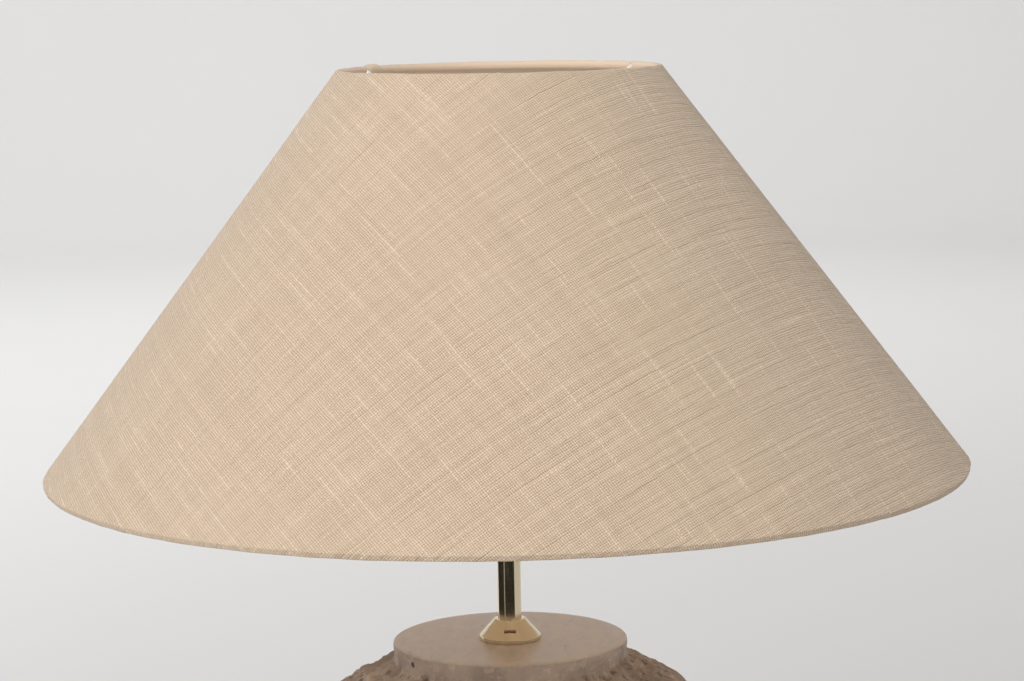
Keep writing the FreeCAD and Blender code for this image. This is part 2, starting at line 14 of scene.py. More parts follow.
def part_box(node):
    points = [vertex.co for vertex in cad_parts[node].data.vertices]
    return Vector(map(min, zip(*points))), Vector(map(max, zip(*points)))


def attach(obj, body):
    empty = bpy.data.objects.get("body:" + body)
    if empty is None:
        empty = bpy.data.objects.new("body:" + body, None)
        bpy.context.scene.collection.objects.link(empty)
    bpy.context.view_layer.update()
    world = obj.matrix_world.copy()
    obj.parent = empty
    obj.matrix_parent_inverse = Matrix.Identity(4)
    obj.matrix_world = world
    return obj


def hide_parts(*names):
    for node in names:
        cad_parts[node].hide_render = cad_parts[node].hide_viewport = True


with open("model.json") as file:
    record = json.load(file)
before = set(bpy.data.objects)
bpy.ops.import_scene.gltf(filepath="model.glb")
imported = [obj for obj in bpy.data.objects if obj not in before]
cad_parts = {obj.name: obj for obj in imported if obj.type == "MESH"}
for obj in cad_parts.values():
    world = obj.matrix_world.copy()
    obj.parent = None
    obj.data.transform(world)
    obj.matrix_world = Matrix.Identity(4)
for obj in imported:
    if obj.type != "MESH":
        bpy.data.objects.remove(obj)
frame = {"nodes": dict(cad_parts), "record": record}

bpy.context.view_layer.update()

bl_info = {
    "name": "Table lamp with a cone shade",
    "version": (1, 0, 0),
    "blender": (4, 5, 0),
    "location": "3D View > Sidebar > Table Lamp",
    "description": "Builds the visible pieces of a table lamp round its packed model",
    "category": "Add Mesh",
}

MM = 0.001
ROD_HOLE = 5.2 * MM        # radius of the hole for the threaded rod
JAR_CEILING = 10 * MM      # thickness of the jar's flat top
COVER_RECESS = np.array([86.5, 4.0]) * MM     # radius and depth of the board cover's seat under the jar


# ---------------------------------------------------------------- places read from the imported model

def corners(node):
    """Lowest and highest corner of a node as arrays."""
    low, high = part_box(node)
    return np.array(low), np.array(high)


RING_LOW, RING_HIGH = corners("bottom_ring")
WIRE = (RING_HIGH[2] - RING_LOW[2]) / 2
BOTTOM_RING = np.array([RING_HIGH[0] - WIRE, RING_LOW[2] + WIRE])
COVER_LOW, COVER_HIGH = corners("shade_cover")
ROLL = BOTTOM_RING[1] - COVER_LOW[2]
TOP_RING = np.array([corners("top_frame")[1][0] - WIRE, COVER_HIGH[2] - ROLL])
SLANT = float(np.hypot(*(BOTTOM_RING - TOP_RING)))
DOWN = (BOTTOM_RING - TOP_RING) / SLANT
OUT = np.array([-DOWN[1], DOWN[0]])
OUT_ANGLE = math.degrees(math.atan2(OUT[1], OUT[0]))
JAR_LOW, JAR_HIGH = corners("base_body")
TOP_EDGE = (BOTTOM_RING[0] + ROLL * OUT[0]) / float(DOWN[0]) - SLANT     # along the cut, from the cone's apex


def display(red, green, blue):
    """A colour as it looks on screen, turned into the linear values that shaders use."""
    return tuple(c / 12.92 if c <= 0.04045 else ((c + 0.055) / 1.055) ** 2.4 for c in (red, green, blue))


# ---------------------------------------------------------------- sizes and colours a user may change

def length(name, description, default):
    return bpy.props.FloatProperty(name=name, description=description, default=default, unit="LENGTH",
                                   precision=5, min=0.0)


def angle(name, description, degrees):
    return bpy.props.FloatProperty(name=name, description=description, default=math.radians(degrees),
                                   subtype="ANGLE", unit="ROTATION")


def colour(name, description, *default):
    return bpy.props.FloatVectorProperty(name=name, description=description, default=display(*default),
                                         subtype="COLOR", size=3, min=0.0, max=1.0)


class LampSizes(bpy.types.PropertyGroup):
    neck_radius: length("Neck radius", "Radius of the jar's flat top", 0.0645)
    neck_drop: length("Neck drop", "Height of the neck above the shoulder", 0.0095)
    edge_round: length("Edge round", "Radius of the top face's edge", 0.0012)
    belly_height: length("Belly height", "Height of the jar's widest place", 0.1735)
    shoulder_arc: length("Shoulder arc", "Radius of the arc from belly to neck", 0.1263)
    flank_arc: length("Flank arc", "Radius of the arc from belly to foot", 0.231)
    foot_radius: length("Foot radius", "Radius of the straight foot", 0.092)
    foot_top: length("Foot top", "Height of the straight foot", 0.028)
    jar_wall: length("Jar wall", "Thickness of the cast wall", 0.009)
    lump: length("Lump height", "How far the rough cast surface rises and falls", 0.0028)
    cloth: length("Cloth", "Thickness of the shade's cloth", 0.0007)
    lining: length("Lining", "Thickness of the shade's lining", 0.0006)
    lap: length("Lap", "Width of the lap where the cloth's ends meet", 0.010)
    seam: angle("Seam", "Direction of the lap, counted from +X towards +Y", 143)
    tuck: angle("Tuck", "How far the cloth tucks under past a half turn", 45)
    thread: length("Thread", "Distance from one thread of the linen to the next", 0.00125)
    bias: angle("Bias", "Angle of the linen's slub threads in the flat cut", -54)


class LampColours(bpy.types.PropertyGroup):
    linen: colour("Linen", "Cloth of the shade", 0.90, 0.818, 0.725)
    lining: colour("Lining", "Inside of the shade", 0.955, 0.885, 0.80)
    brass: colour("Brass", "Polished brass", 0.945, 0.885, 0.765)
    cast: colour("Cast", "Rough cast surface of the base", 0.775, 0.69, 0.62)
    cast_top: colour("Cast top", "Smooth top of the base", 0.865, 0.79, 0.72)
    felt: colour("Felt", "Pad under the base", 0.30, 0.25, 0.21)
    enamel: colour("Enamel", "Coating of the shade's wire frame", 0.90, 0.89, 0.86)
    studio: colour("Studio", "Floor and backdrop", 0.835, 0.835, 0.835)


# ---------------------------------------------------------------- numpy shapes

def straight(start, end, step=None):
    """Points from start to end, about step apart, both ends included."""
    start, end = np.array(start, float), np.array(end, float)
    count = max(1, round(float(np.hypot(*(end - start))) / step)) if step else 1
    return start + (end - start) * np.linspace(0, 1, count + 1)[:, None]


def swing(centre, radius, start, end, step):
    """Points on an arc about centre from start to end, in degrees, about step apart."""
    count = max(2, round(abs(math.radians(end - start)) * radius / step))
    turn = np.radians(np.linspace(start, end, count + 1))
    return np.array(centre) + radius * np.column_stack([np.cos(turn), np.sin(turn)])


def circle(count):
    """The angles of a full turn in count even steps, from 0."""
    return np.linspace(0, 2 * math.pi, count, endpoint=False)


def heading(degrees):
    """The unit vector at an angle."""
    return np.array([math.cos(math.radians(degrees)), math.sin(math.radians(degrees))])


def joined(*paths):
    """One path from several, without the points that two neighbours share."""
    points = np.concatenate(paths)
    keep = np.r_[True, np.hypot(*np.diff(points, axis=0).T) > 1e-7]
    return points[keep]


def softened(corners_and_radii, step=0.0003, closed=True):
    """An outline of (r, z, radius) corners, each rounded by an arc tangent to its two sides."""
    table = np.array(corners_and_radii, float)
    count = len(table)
    parts = []
    for i in range(count):
        point, radius = table[i, :2], table[i, 2]
        before, after = table[i - 1, :2], table[(i + 1) % count, :2]
        if radius == 0 or (not closed and i in (0, count - 1)):
            parts.append(point[None])
            continue
        a, b = (before - point), (after - point)
        a, b = a / np.hypot(*a), b / np.hypot(*b)
        half = math.acos(float(np.clip(a @ b, -1, 1))) / 2
        centre = point + (a + b) / np.hypot(*(a + b)) * radius / math.sin(half)
        start, end = point + a * radius / math.tan(half), point + b * radius / math.tan(half)
        first, last = (math.degrees(math.atan2(*(p - centre)[::-1])) for p in (start, end))
        turn = (last - first + 180) % 360 - 180
        parts.append(swing(centre, radius, first, first + turn, max(step, radius / 6)))
    return joined(*parts)


def dense(profile, step):
    """The same path with extra points wherever two neighbours lie more than step apart."""
    return joined(*[straight(a, b, step) for a, b in zip(profile[:-1], profile[1:])])


def profile_normals(profile, closed):
    """Unit normals of a profile, a quarter turn right of its direction, so outward where it runs upward."""
    if closed:
        along = np.roll(profile, -1, 0) - np.roll(profile, 1, 0)
    else:
        along = np.gradient(profile, axis=0)
    along /= np.maximum(np.hypot(*along.T), 1e-12)[:, None]
    return np.column_stack([along[:, 1], -along[:, 0]])


def revolve(profile, turns):
    """Grid [profile point, turn]: each profile point carried round Z by the angles in turns."""
    r, z = profile[:, :1], profile[:, 1:]
    return np.stack([r * np.cos(turns), r * np.sin(turns), z + 0 * turns], -1)


def lattice(cells, seed):
    """A fixed pseudo-random number from 0 to 1 for each whole-number cell."""
    x, y, z = (cells[..., i].astype(np.int64) for i in range(3))
    n = (x * 73856093) ^ (y * 19349663) ^ (z * 83492791) ^ (seed * 265443576)
    n = (n ^ (n >> 13)) * 1274126177 & 0xFFFFFFFF
    n = (n ^ (n >> 15)) * 668265263 & 0xFFFFFFFF
    return ((n ^ (n >> 16)) & 0xFFFF) / 65535.0


def soft_noise(points, size, seed):
    """Smooth noise from -1 to 1: the corners of each cell of the given size, blended by a smooth step."""
    q = points / size
    base = np.floor(q)
    f = q - base
    f = f * f * (3 - 2 * f)
    total = np.zeros(points.shape[:-1])
    for corner in np.ndindex(2, 2, 2):
        offset = np.array(corner)
        weight = np.prod(np.where(offset, f, 1 - f), -1)
        total += weight * lattice(base + offset, seed)
    return total * 2 - 1


def grain_distance(points, size, seed):
    """Distances to the nearest and the second nearest of points strewn one to a cell, in cells."""
    q = points / size
    base = np.floor(q)
    near = np.full(points.shape[:-1], 9.0)
    second = near.copy()
    for offset in np.ndindex(3, 3, 3):
        cell = base + np.array(offset) - 1
        spot = cell + np.stack([lattice(cell, seed + i) for i in range(3)], -1)
        distance = np.linalg.norm(spot - q, axis=-1)
        second = np.minimum(second, np.maximum(near, distance))
        near = np.minimum(near, distance)
    return near, second


def smooth_step(low, high, value):
    """0 at low, 1 at high and an S-shaped rise between them. With low above high it falls instead."""
    t = np.clip((value - low) / (high - low), 0, 1)
    return t * t * (3 - 2 * t)


# ---------------------------------------------------------------- meshes

def mesh_from_grid(name, grid, around=True, closed=False, uv=None, sharp=40):
    """A mesh from a grid [row, column, xyz]: around joins the last column to the first, closed joins the last
    row to the first. A row that has shrunk to the Z axis becomes one vertex with triangles round it. uv is
    a grid of flat positions with one more column than the points, so that the cut can open at a seam."""
    rows, columns = grid.shape[:2]
    index = np.arange(rows * columns).reshape(rows, columns)
    pole = np.hypot(grid[..., 0], grid[..., 1]).max(1) < 1e-6
    index[pole] = index[pole][:, :1]
    row = np.arange(rows if closed else rows - 1)
    column = np.arange(columns if around else columns - 1)
    row, column = (a.ravel() for a in np.meshgrid(row, column, indexing="ij"))
    below, above = row, (row + 1) % rows
    left, right = column, (column + 1) % columns
    places = ((below, left), (below, right), (above, right), (above, left))
    quads = np.column_stack([index[place] for place in places])
    flat_low, flat_high = pole[below], pole[above]
    whole = ~flat_low & ~flat_high
    fans = quads[flat_low & ~flat_high][:, [0, 2, 3]], quads[flat_high & ~flat_low][:, :3]
    triangles = np.concatenate(fans)
    used, again = np.unique(np.concatenate([quads[whole].ravel(), triangles.ravel()]), return_inverse=True)
    split = 4 * int(whole.sum())
    mesh = bpy.data.meshes.new(name)
    faces = again[:split].reshape(-1, 4).tolist() + again[split:].reshape(-1, 3).tolist()
    mesh.from_pydata(grid.reshape(-1, 3)[used].tolist(), [], faces)
    if uv is not None:
        cut_places = ((below, column), (below, column + 1), (above, column + 1), (above, column))
        spots = np.stack([uv[place] for place in cut_places], 1)
        layer = mesh.uv_layers.new(name="Cut")
        layer.uv.foreach_set("vector", spots[whole].reshape(-1).astype(np.float32))
    shade(mesh, sharp)
    return mesh


def shade(mesh, sharp):
    """Smooth shading, but for edges that turn by more than sharp, in degrees."""
    mesh.shade_smooth()
    mesh.set_sharp_from_angle(angle=math.radians(sharp))


def linked(name, data):
    """A new object in the scene."""
    made = bpy.data.objects.new(name, data)
    bpy.context.scene.collection.objects.link(made)
    return made


def piece(name, mesh, body, node, material):
    """A new piece that rides on a body and stands for a node."""
    made = linked(name, mesh)
    mesh.materials.append(material)
    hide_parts(node)
    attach(made, body)
    return made


def slot_of(node):
    return next(p["material_slot"] for p in frame["record"]["subparts"] if p["node"] == node)


def lathe(name, profile, body, node, material, columns=96, closed=True, sharp=40):
    """A turned piece: a profile, closed or from axis to axis, carried once round Z."""
    mesh = mesh_from_grid(name, revolve(profile, circle(columns)), closed=closed, sharp=sharp)
    return piece(name, mesh, body, node, material)


def carve(made, cutters, sharp=40):
    """Cuts closed cutter meshes out of a piece and keeps the result as its own mesh."""
    tools = []
    for number, mesh in enumerate(cutters):
        tool = linked(f"cutter_{number}", mesh)
        tools.append(tool)
        cut = made.modifiers.new(tool.name, "BOOLEAN")
        cut.operation = "DIFFERENCE"
        cut.solver = "MANIFOLD"
        cut.object = tool
    whole = made.evaluated_get(bpy.context.evaluated_depsgraph_get())
    mesh = bpy.data.meshes.new_from_object(whole)
    made.modifiers.clear()
    made.data = mesh
    mesh.polygons.foreach_set("material_index", np.zeros(len(mesh.polygons), dtype=np.int32))
    while len(mesh.materials) > 1:
        mesh.materials.pop()
    shade(mesh, sharp)
    for tool in tools:
        bpy.data.objects.remove(tool)


def bar(radius, start, end):
    """A closed round bar between two points, used as a cutter."""
    start, end = Vector(start), Vector(end)
    along = end - start
    profile = np.array([[0, 0], [radius, 0], [radius, along.length], [0, along.length]])
    mesh = mesh_from_grid("bar", revolve(profile, circle(24)))
    mesh.transform(Matrix.Translation(start) @ along.to_track_quat("Z", "Y").to_matrix().to_4x4())
    return mesh


# ---------------------------------------------------------------- shader building

class Graph:
    """Adds nodes to one tree. A value given to a socket may be a number, a colour or another socket."""

    def __init__(self, tree):
        self.tree = tree

    def feed(self, socket, value):
        if isinstance(value, bpy.types.NodeSocket):
            self.tree.links.new(value, socket)
        elif value is not None:
            socket.default_value = value

    def node(self, kind, inputs=(), **settings):
        made = self.tree.nodes.new(kind)
        for name, value in settings.items():
            setattr(made, name, value)
        for name, value in dict(inputs).items():
            self.feed(made.inputs[name], value)
        return made

    def math(self, operation, a, b=None, c=None, clamp=False):
        made = self.node("ShaderNodeMath", operation=operation, use_clamp=clamp)
        for socket, value in zip(made.inputs, (a, b, c)):
            self.feed(socket, value)
        return made.outputs[0]

    def times(self, a, b, plus=None):
        return self.math("MULTIPLY" if plus is None else "MULTIPLY_ADD", a, b, plus)

    def vector(self, operation, a, b=None, scale=None, output=0):
        made = self.node("ShaderNodeVectorMath", operation=operation)
        for number, value in ((0, a), (1, b), (3, scale)):
            self.feed(made.inputs[number], value)
        return made.outputs[output]

    def mix(self, factor, a, b):
        made = self.node("ShaderNodeMix", data_type="RGBA")
        for number, value in ((0, factor), (6, a), (7, b)):
            self.feed(made.inputs[number], value)
        return made.outputs[2]

    def blend(self, factor, a, b):
        made = self.node("ShaderNodeMix", data_type="FLOAT")
        for number, value in ((0, factor), (2, a), (3, b)):
            self.feed(made.inputs[number], value)
        return made.outputs[0]

    def spread(self, value, low, high, to_low=0.0, to_high=1.0, smooth=False):
        kind = "SMOOTHSTEP" if smooth else "LINEAR"
        made = self.node("ShaderNodeMapRange", interpolation_type=kind)
        for number, given in enumerate((value, low, high, to_low, to_high)):
            self.feed(made.inputs[number], given)
        return made.outputs[0]

    def noise(self, vector, scale, detail=2.0, roughness=0.5, distortion=0.0):
        made = self.node("ShaderNodeTexNoise", {"Vector": vector, "Scale": scale, "Detail": detail,
                                                "Roughness": roughness, "Distortion": distortion})
        return made.outputs["Fac"]

    def join(self, x=0.0, y=0.0, z=0.0):
        return self.node("ShaderNodeCombineXYZ", {"X": x, "Y": y, "Z": z}).outputs[0]

    def finish(self, shader, base, rough, height, depth):
        """Feeds the shader's colour, its roughness unless that is None, and a bump of the given depth."""
        self.feed(shader.inputs["Base Color"], base)
        self.feed(shader.inputs["Roughness"], rough)
        bump = self.node("ShaderNodeBump", {"Height": height, "Distance": depth, "Strength": 1.0})
        self.feed(shader.inputs["Normal"], bump.outputs[0])


def group(name, inputs, outputs, build):
    """A shader node group with named sockets. build(graph, inputs) returns one socket for each output."""
    if name in bpy.data.node_groups:
        return bpy.data.node_groups[name]
    tree = bpy.data.node_groups.new(name, "ShaderNodeTree")
    for socket, (kind, default) in inputs.items():
        made = tree.interface.new_socket(socket, in_out="INPUT", socket_type=kind)
        if default is not None:
            made.default_value = default
    for socket, kind in outputs.items():
        tree.interface.new_socket(socket, in_out="OUTPUT", socket_type=kind)
    graph = Graph(tree)
    source = graph.node("NodeGroupInput")
    results = build(graph, source.outputs)
    graph.node("NodeGroupOutput", dict(zip(outputs, results)))
    return tree


def use(graph, tree, **values):
    """Places a node group and fills its sockets: an underscore in a name stands for a space."""
    made = graph.node("ShaderNodeGroup", node_tree=tree)
    for name, value in values.items():
        graph.feed(made.inputs[name.replace("_", " ")], value)
    return made.outputs


VALUE, VECTOR = "NodeSocketFloat", "NodeSocketVector"


def handling_marks():
    """Fine scratches that run many ways, and soft smudges, on anything hard that hands have touched."""

    def build(g, given):
        place, scale = given["Vector"], given["Scale"]
        far = g.vector("SCALE", place, scale=scale)
        lines = []
        for squeeze in ((1.0, 0.06, 0.4), (0.08, 1.0, 0.5), (0.5, 0.4, 0.05)):
            stretched = g.vector("MULTIPLY", far, squeeze)
            line = g.noise(stretched, 900.0, 1.0, 0.4, 0.4)
            lines.append(g.spread(line, 0.66, 0.72))
        scratches = g.math("MAXIMUM", g.math("MAXIMUM", lines[0], lines[1]), lines[2])
        smudge = g.spread(g.noise(far, 55.0, 3.0, 0.6, 0.8), 0.42, 0.68, smooth=True)
        return scratches, smudge

    return group("Handling marks", {"Vector": (VECTOR, None), "Scale": (VALUE, 1.0)},
                 {"Scratches": VALUE, "Smudge": VALUE}, build)


def fibres():
    """Short tangled fibres: three stretched noises laid over each other, for felt, board and card."""

    def build(g, given):
        far = g.vector("SCALE", given["Vector"], scale=given["Scale"])
        layers = [g.noise(g.vector("MULTIPLY", far, stretch), 700.0, 3.0, 0.65, 1.5)
                  for stretch in ((1.0, 0.22, 0.6), (0.25, 1.0, 0.7), (0.7, 0.7, 0.3))]
        height = g.math("MAXIMUM", g.math("MAXIMUM", layers[0], layers[1]), layers[2])
        height = g.spread(height, 0.42, 0.78)
        cloud = g.noise(far, 60.0, 4.0, 0.55)
        return height, cloud

    return group("Fibres", {"Vector": (VECTOR, None), "Scale": (VALUE, 1.0)},
                 {"Height": VALUE, "Cloud": VALUE}, build)


def slub_weave():
    """Plain weave with slubs. Vector is the place in the flat cut, turned so that one set of threads runs
    along X, in metres. Each thread is a rounded ridge that rises over one crossing and dips under the next;
    a slub is a stretch where long noise along one thread makes it thicker."""

    def thread(g, along, across, start, slub_length, slub_low):
        number = g.math("FLOOR", across)
        chance = g.node("ShaderNodeTexWhiteNoise", {"W": g.math("ADD", number, start)}, noise_dimensions="1D")
        stretched = g.join(g.math("DIVIDE", along, slub_length), g.times(number, 7.31), start)
        slub = g.spread(g.noise(stretched, 1.0, 1.0, 0.5), slub_low, slub_low + 0.10, smooth=True)
        slub = g.times(slub, g.math("GREATER_THAN", chance.outputs["Value"], 0.62))
        width = g.times(chance.outputs["Value"], 0.20, 0.84)
        width = g.times(g.noise(stretched, 6.0, 2.0), 0.24, g.math("SUBTRACT", width, 0.10))
        width = g.times(slub, 0.34, width)
        offset = g.math("SUBTRACT", g.math("FRACT", across), 0.5)
        offset = g.math("DIVIDE", g.times(offset, 2.0), width)
        ridge = g.math("SUBTRACT", 1.0, g.times(offset, offset), clamp=True)
        return number, ridge, slub, chance.outputs["Value"]

    def build(g, given):
        place = g.vector("SCALE", given["Vector"], scale=g.math("DIVIDE", 1.0, given["Pitch"]))
        wander = g.node("ShaderNodeTexNoise", {"Vector": place, "Scale": 0.16, "Detail": 3.0})
        shift = g.vector("SCALE", g.vector("SUBTRACT", wander.outputs["Color"], (0.5, 0.5, 0.5)), scale=1.1)
        parts = g.node("ShaderNodeSeparateXYZ", {"Vector": g.vector("ADD", place, shift)})
        x, y = parts.outputs["X"], parts.outputs["Y"]
        row, ridge_a, slub_a, chance_a = thread(g, x, y, 3.7, 24.0, 0.60)
        column, ridge_b, slub_b, chance_b = thread(g, y, x, 61.3, 14.0, 0.62)
        wave_a = g.math("SINE", g.times(g.math("ADD", x, row), math.pi))
        wave_b = g.math("SINE", g.times(g.math("ADD", y, column), math.pi))
        high_a = g.times(ridge_a, g.times(wave_a, 0.36, 0.60))
        high_b = g.times(ridge_b, g.times(wave_b, -0.36, 0.54))
        high_a = g.times(high_a, g.times(slub_a, 0.50, 1.0))
        high_b = g.times(high_b, g.times(slub_b, 0.30, 1.0))
        height = g.math("MAXIMUM", high_a, high_b)
        over = g.spread(g.math("SUBTRACT", high_a, high_b), -0.08, 0.08)
        tone = g.blend(over, chance_b, chance_a)
        slub = g.blend(over, 0.0, slub_a)
        lean = g.join(g.times(x, 0.30), g.times(y, 0.016))
        rib = g.noise(lean, 1.0, 2.0, 0.6, 0.3)
        rib = g.times(g.spread(rib, 0.30, 0.70), given["Rib"], height)
        return rib, height, tone, slub

    return group("Slub weave", {"Vector": (VECTOR, None), "Pitch": (VALUE, 0.00125), "Rib": (VALUE, 0.8)},
                 {"Height": VALUE, "Threads": VALUE, "Tone": VALUE, "Slub": VALUE}, build)


def cast_grain():
    """Cast mineral surface: sand grains, lumps and open pits, each with its own mask."""

    def build(g, given):
        place = given["Vector"]
        lumps = g.noise(place, 210.0, 5.0, 0.62, 0.3)
        sand = g.noise(place, 1500.0, 3.0, 0.7)
        stir = g.node("ShaderNodeTexNoise", {"Vector": place, "Scale": 300.0, "Detail": 2.0})
        warped = g.vector("ADD", place, g.vector("SCALE", stir.outputs["Color"], scale=0.0016))
        spot = g.node("ShaderNodeTexVoronoi", {"Vector": warped, "Scale": given["Pits"]})
        size = g.times(g.math("FRACT", g.times(spot.outputs["Color"], 7.0)), 0.34, 0.02)
        inside = g.math("SUBTRACT", spot.outputs["Distance"], size)
        pits = g.spread(inside, -0.10, 0.05, 1.0, 0.0, smooth=True)
        cloud = g.noise(place, 28.0, 4.0, 0.6, 0.5)
        elsewhere = g.vector("ADD", place, (3.1, 1.7, 0.4))
        stain = g.spread(g.noise(elsewhere, 42.0, 3.0, 0.55, 0.9), 0.60, 0.74, smooth=True)
        return lumps, sand, pits, cloud, stain

    return group("Cast grain", {"Vector": (VECTOR, None), "Pits": (VALUE, 170.0)},
                 {"Lumps": VALUE, "Sand": VALUE, "Pits": VALUE, "Cloud": VALUE, "Stain": VALUE}, build)


def new_material(name, **constants):
    """A material, named after its slot, whose Principled shader has the constants on its own sockets. Gives
    the graph, the shader and the place in the object."""
    material = bpy.data.materials.new(f"{name} finish")
    material.use_nodes = True
    graph = Graph(material.node_tree)
    shader = material.node_tree.nodes["Principled BSDF"]
    for key, value in constants.items():
        shader.inputs[key.replace("_", " ")].default_value = value
    place = graph.node("ShaderNodeTexCoord").outputs["Object"]
    return graph, shader, place


def faded(tone, factor):
    """A colour times a factor, as four values."""
    return (*(min(1.0, c * factor) for c in tone), 1.0)


def metal(name, tone, roughness, wear, tarnish):
    """Polished or plated metal: scratches and smudges change the roughness, and tarnish dulls the colour."""
    g, shader, place = new_material(name, Metallic=1.0)
    marks = use(g, handling_marks(), Vector=place, Scale=1.0)
    cloud = g.noise(place, 90.0, 4.0, 0.6, 0.3)
    dull = g.times(g.spread(cloud, 0.45, 0.75, smooth=True), tarnish)
    base = g.mix(dull, faded(tone, 1.0), faded((tone[0] * 0.62, tone[1] * 0.52, tone[2] * 0.42), 1.0))
    rough = g.times(marks["Smudge"], 0.07 * wear, roughness)
    rough = g.times(marks["Scratches"], 0.10 * wear, rough)
    height = g.times(marks["Scratches"], -0.5, g.times(cloud, 0.4))
    g.finish(shader, base, rough, height, 0.00002 * wear)


def moulded(name, tone, roughness, texture, **constants):
    """Moulded plastic, rubber or enamel: a faint orange peel, smudges and a little change of colour."""
    g, shader, place = new_material(name, **constants)
    marks = use(g, handling_marks(), Vector=place, Scale=0.8)
    peel = g.noise(place, 900.0, 3.0, 0.6)
    cloud = g.noise(place, 45.0, 4.0, 0.6)
    base = g.mix(g.spread(cloud, 0.35, 0.7), faded(tone, 0.90), faded(tone, 1.06))
    rough = g.times(marks["Scratches"], 0.08, g.times(marks["Smudge"], 0.10, roughness))
    g.finish(shader, base, rough, peel, 0.00005 * texture)


def fibrous(name, tone, roughness, depth, scale, **constants):
    """Felt, board or card: tangled fibres over a cloudy ground, with painted shade that darkens the colour
    where the fibres lie low.
    """
    g, shader, place = new_material(name, Roughness=roughness, **constants)
    felt = use(g, fibres(), Vector=place, Scale=scale)
    ground = g.mix(felt["Cloud"], faded(tone, 0.65), faded(tone, 1.35))
    # painted shade: the colour falls to 0.6 of the tone where the fibre height is low, between the fibres
    base = g.mix(g.times(felt["Height"], 0.6), faded(tone, 0.6), ground)
    g.finish(shader, base, None, felt["Height"], depth)


def linen_material(sizes, colours):
    """Slub linen: threads from the weave group on the cloth's flat cut, with sheen on its own socket. Painted
    shade darkens the gaps between the threads, and faint painted shadow streaks run along the ribs. The
    turn-in over the upper ring is pressed smooth with glue, so its threads hardly show."""
    tone = tuple(colours.linen)
    g, shader, _ = new_material("linen", Sheen_Weight=0.25, Sheen_Roughness=0.45, IOR=1.35)
    flat = g.node("ShaderNodeUVMap", uv_map="Cut").outputs["UV"]
    turned = g.node("ShaderNodeMapping", {"Vector": flat, "Rotation": (0.0, 0.0, -sizes.bias)}).outputs[0]
    weave = use(g, slub_weave(), Vector=turned, Pitch=sizes.thread, Rib=1.5)
    cloud = g.noise(turned, 14.0, 4.0, 0.6)
    shadow_streak = g.noise(g.vector("MULTIPLY", turned, (0.12, 1.0, 1.0)), 260.0, 2.0, 0.6)
    thread = g.mix(weave["Tone"], faded((tone[0], tone[1] * 0.975, tone[2] * 0.94), 0.97), faded(tone, 1.03))
    thread = g.mix(g.times(weave["Slub"], 0.48), thread, faded(tone, 1.14))
    warmer = faded((tone[0], tone[1] * 0.95, tone[2] * 0.94), 0.90)
    thread = g.mix(g.spread(cloud, 0.35, 0.68, 0.0, 0.18), thread, warmer)
    # painted shadow: faint dark streaks stretched along the threads stand for the shadows under the raised
    # ribs
    thread = g.mix(g.spread(shadow_streak, 0.5, 0.72, 0.0, 0.08), thread, faded(tone, 0.80))
    # painted shade: the colour darkens where the weave is low, in the gaps between the threads
    gap = g.spread(weave["Threads"], 0.22, 0.74)
    cloth = g.mix(gap, faded((tone[0] * 0.94, tone[1] * 0.86, tone[2] * 0.78), 0.70), thread)
    from_apex = g.vector("LENGTH", flat, output=1)
    loose = g.spread(from_apex, TOP_EDGE - 3.5 * MM, TOP_EDGE - 1.5 * MM, 0.12, 1.0)
    pressed = faded((tone[0], tone[1] * 0.985, tone[2] * 0.985), 1.0)
    rough = g.spread(weave["Threads"], 0.0, 1.0, 0.92, 0.72)
    g.finish(shader, g.mix(loose, pressed, cloth), rough, g.times(weave["Height"], loose), 0.00050)


def lining_material(colours):
    """Cream card coated on its face: faint mottling, a soft sheen and fine streaks of the coating."""
    tone = tuple(colours.lining)
    g, shader, place = new_material("lining", Coat_Weight=0.10, Coat_Roughness=0.35)
    cloud = g.noise(place, 22.0, 4.0, 0.6)
    fine = g.noise(g.vector("MULTIPLY", place, (1.0, 1.0, 0.25)), 420.0, 3.0, 0.6)
    base = g.mix(g.spread(cloud, 0.35, 0.7), faded(tone, 0.97), faded(tone, 1.02))
    base = g.mix(g.spread(fine, 0.4, 0.75, 0.0, 0.25), base, faded(tone, 0.86))
    g.finish(shader, base, g.spread(fine, 0.3, 0.75, 0.42, 0.58), g.math("ADD", fine, cloud), 0.00008)


def neck_pit(sizes):
    """Middle of the one large pit in the front left of the neck, on its wall and 5 mm under the top."""
    return (*(sizes.neck_radius * heading(-145)), JAR_HIGH[2] - 5 * MM)


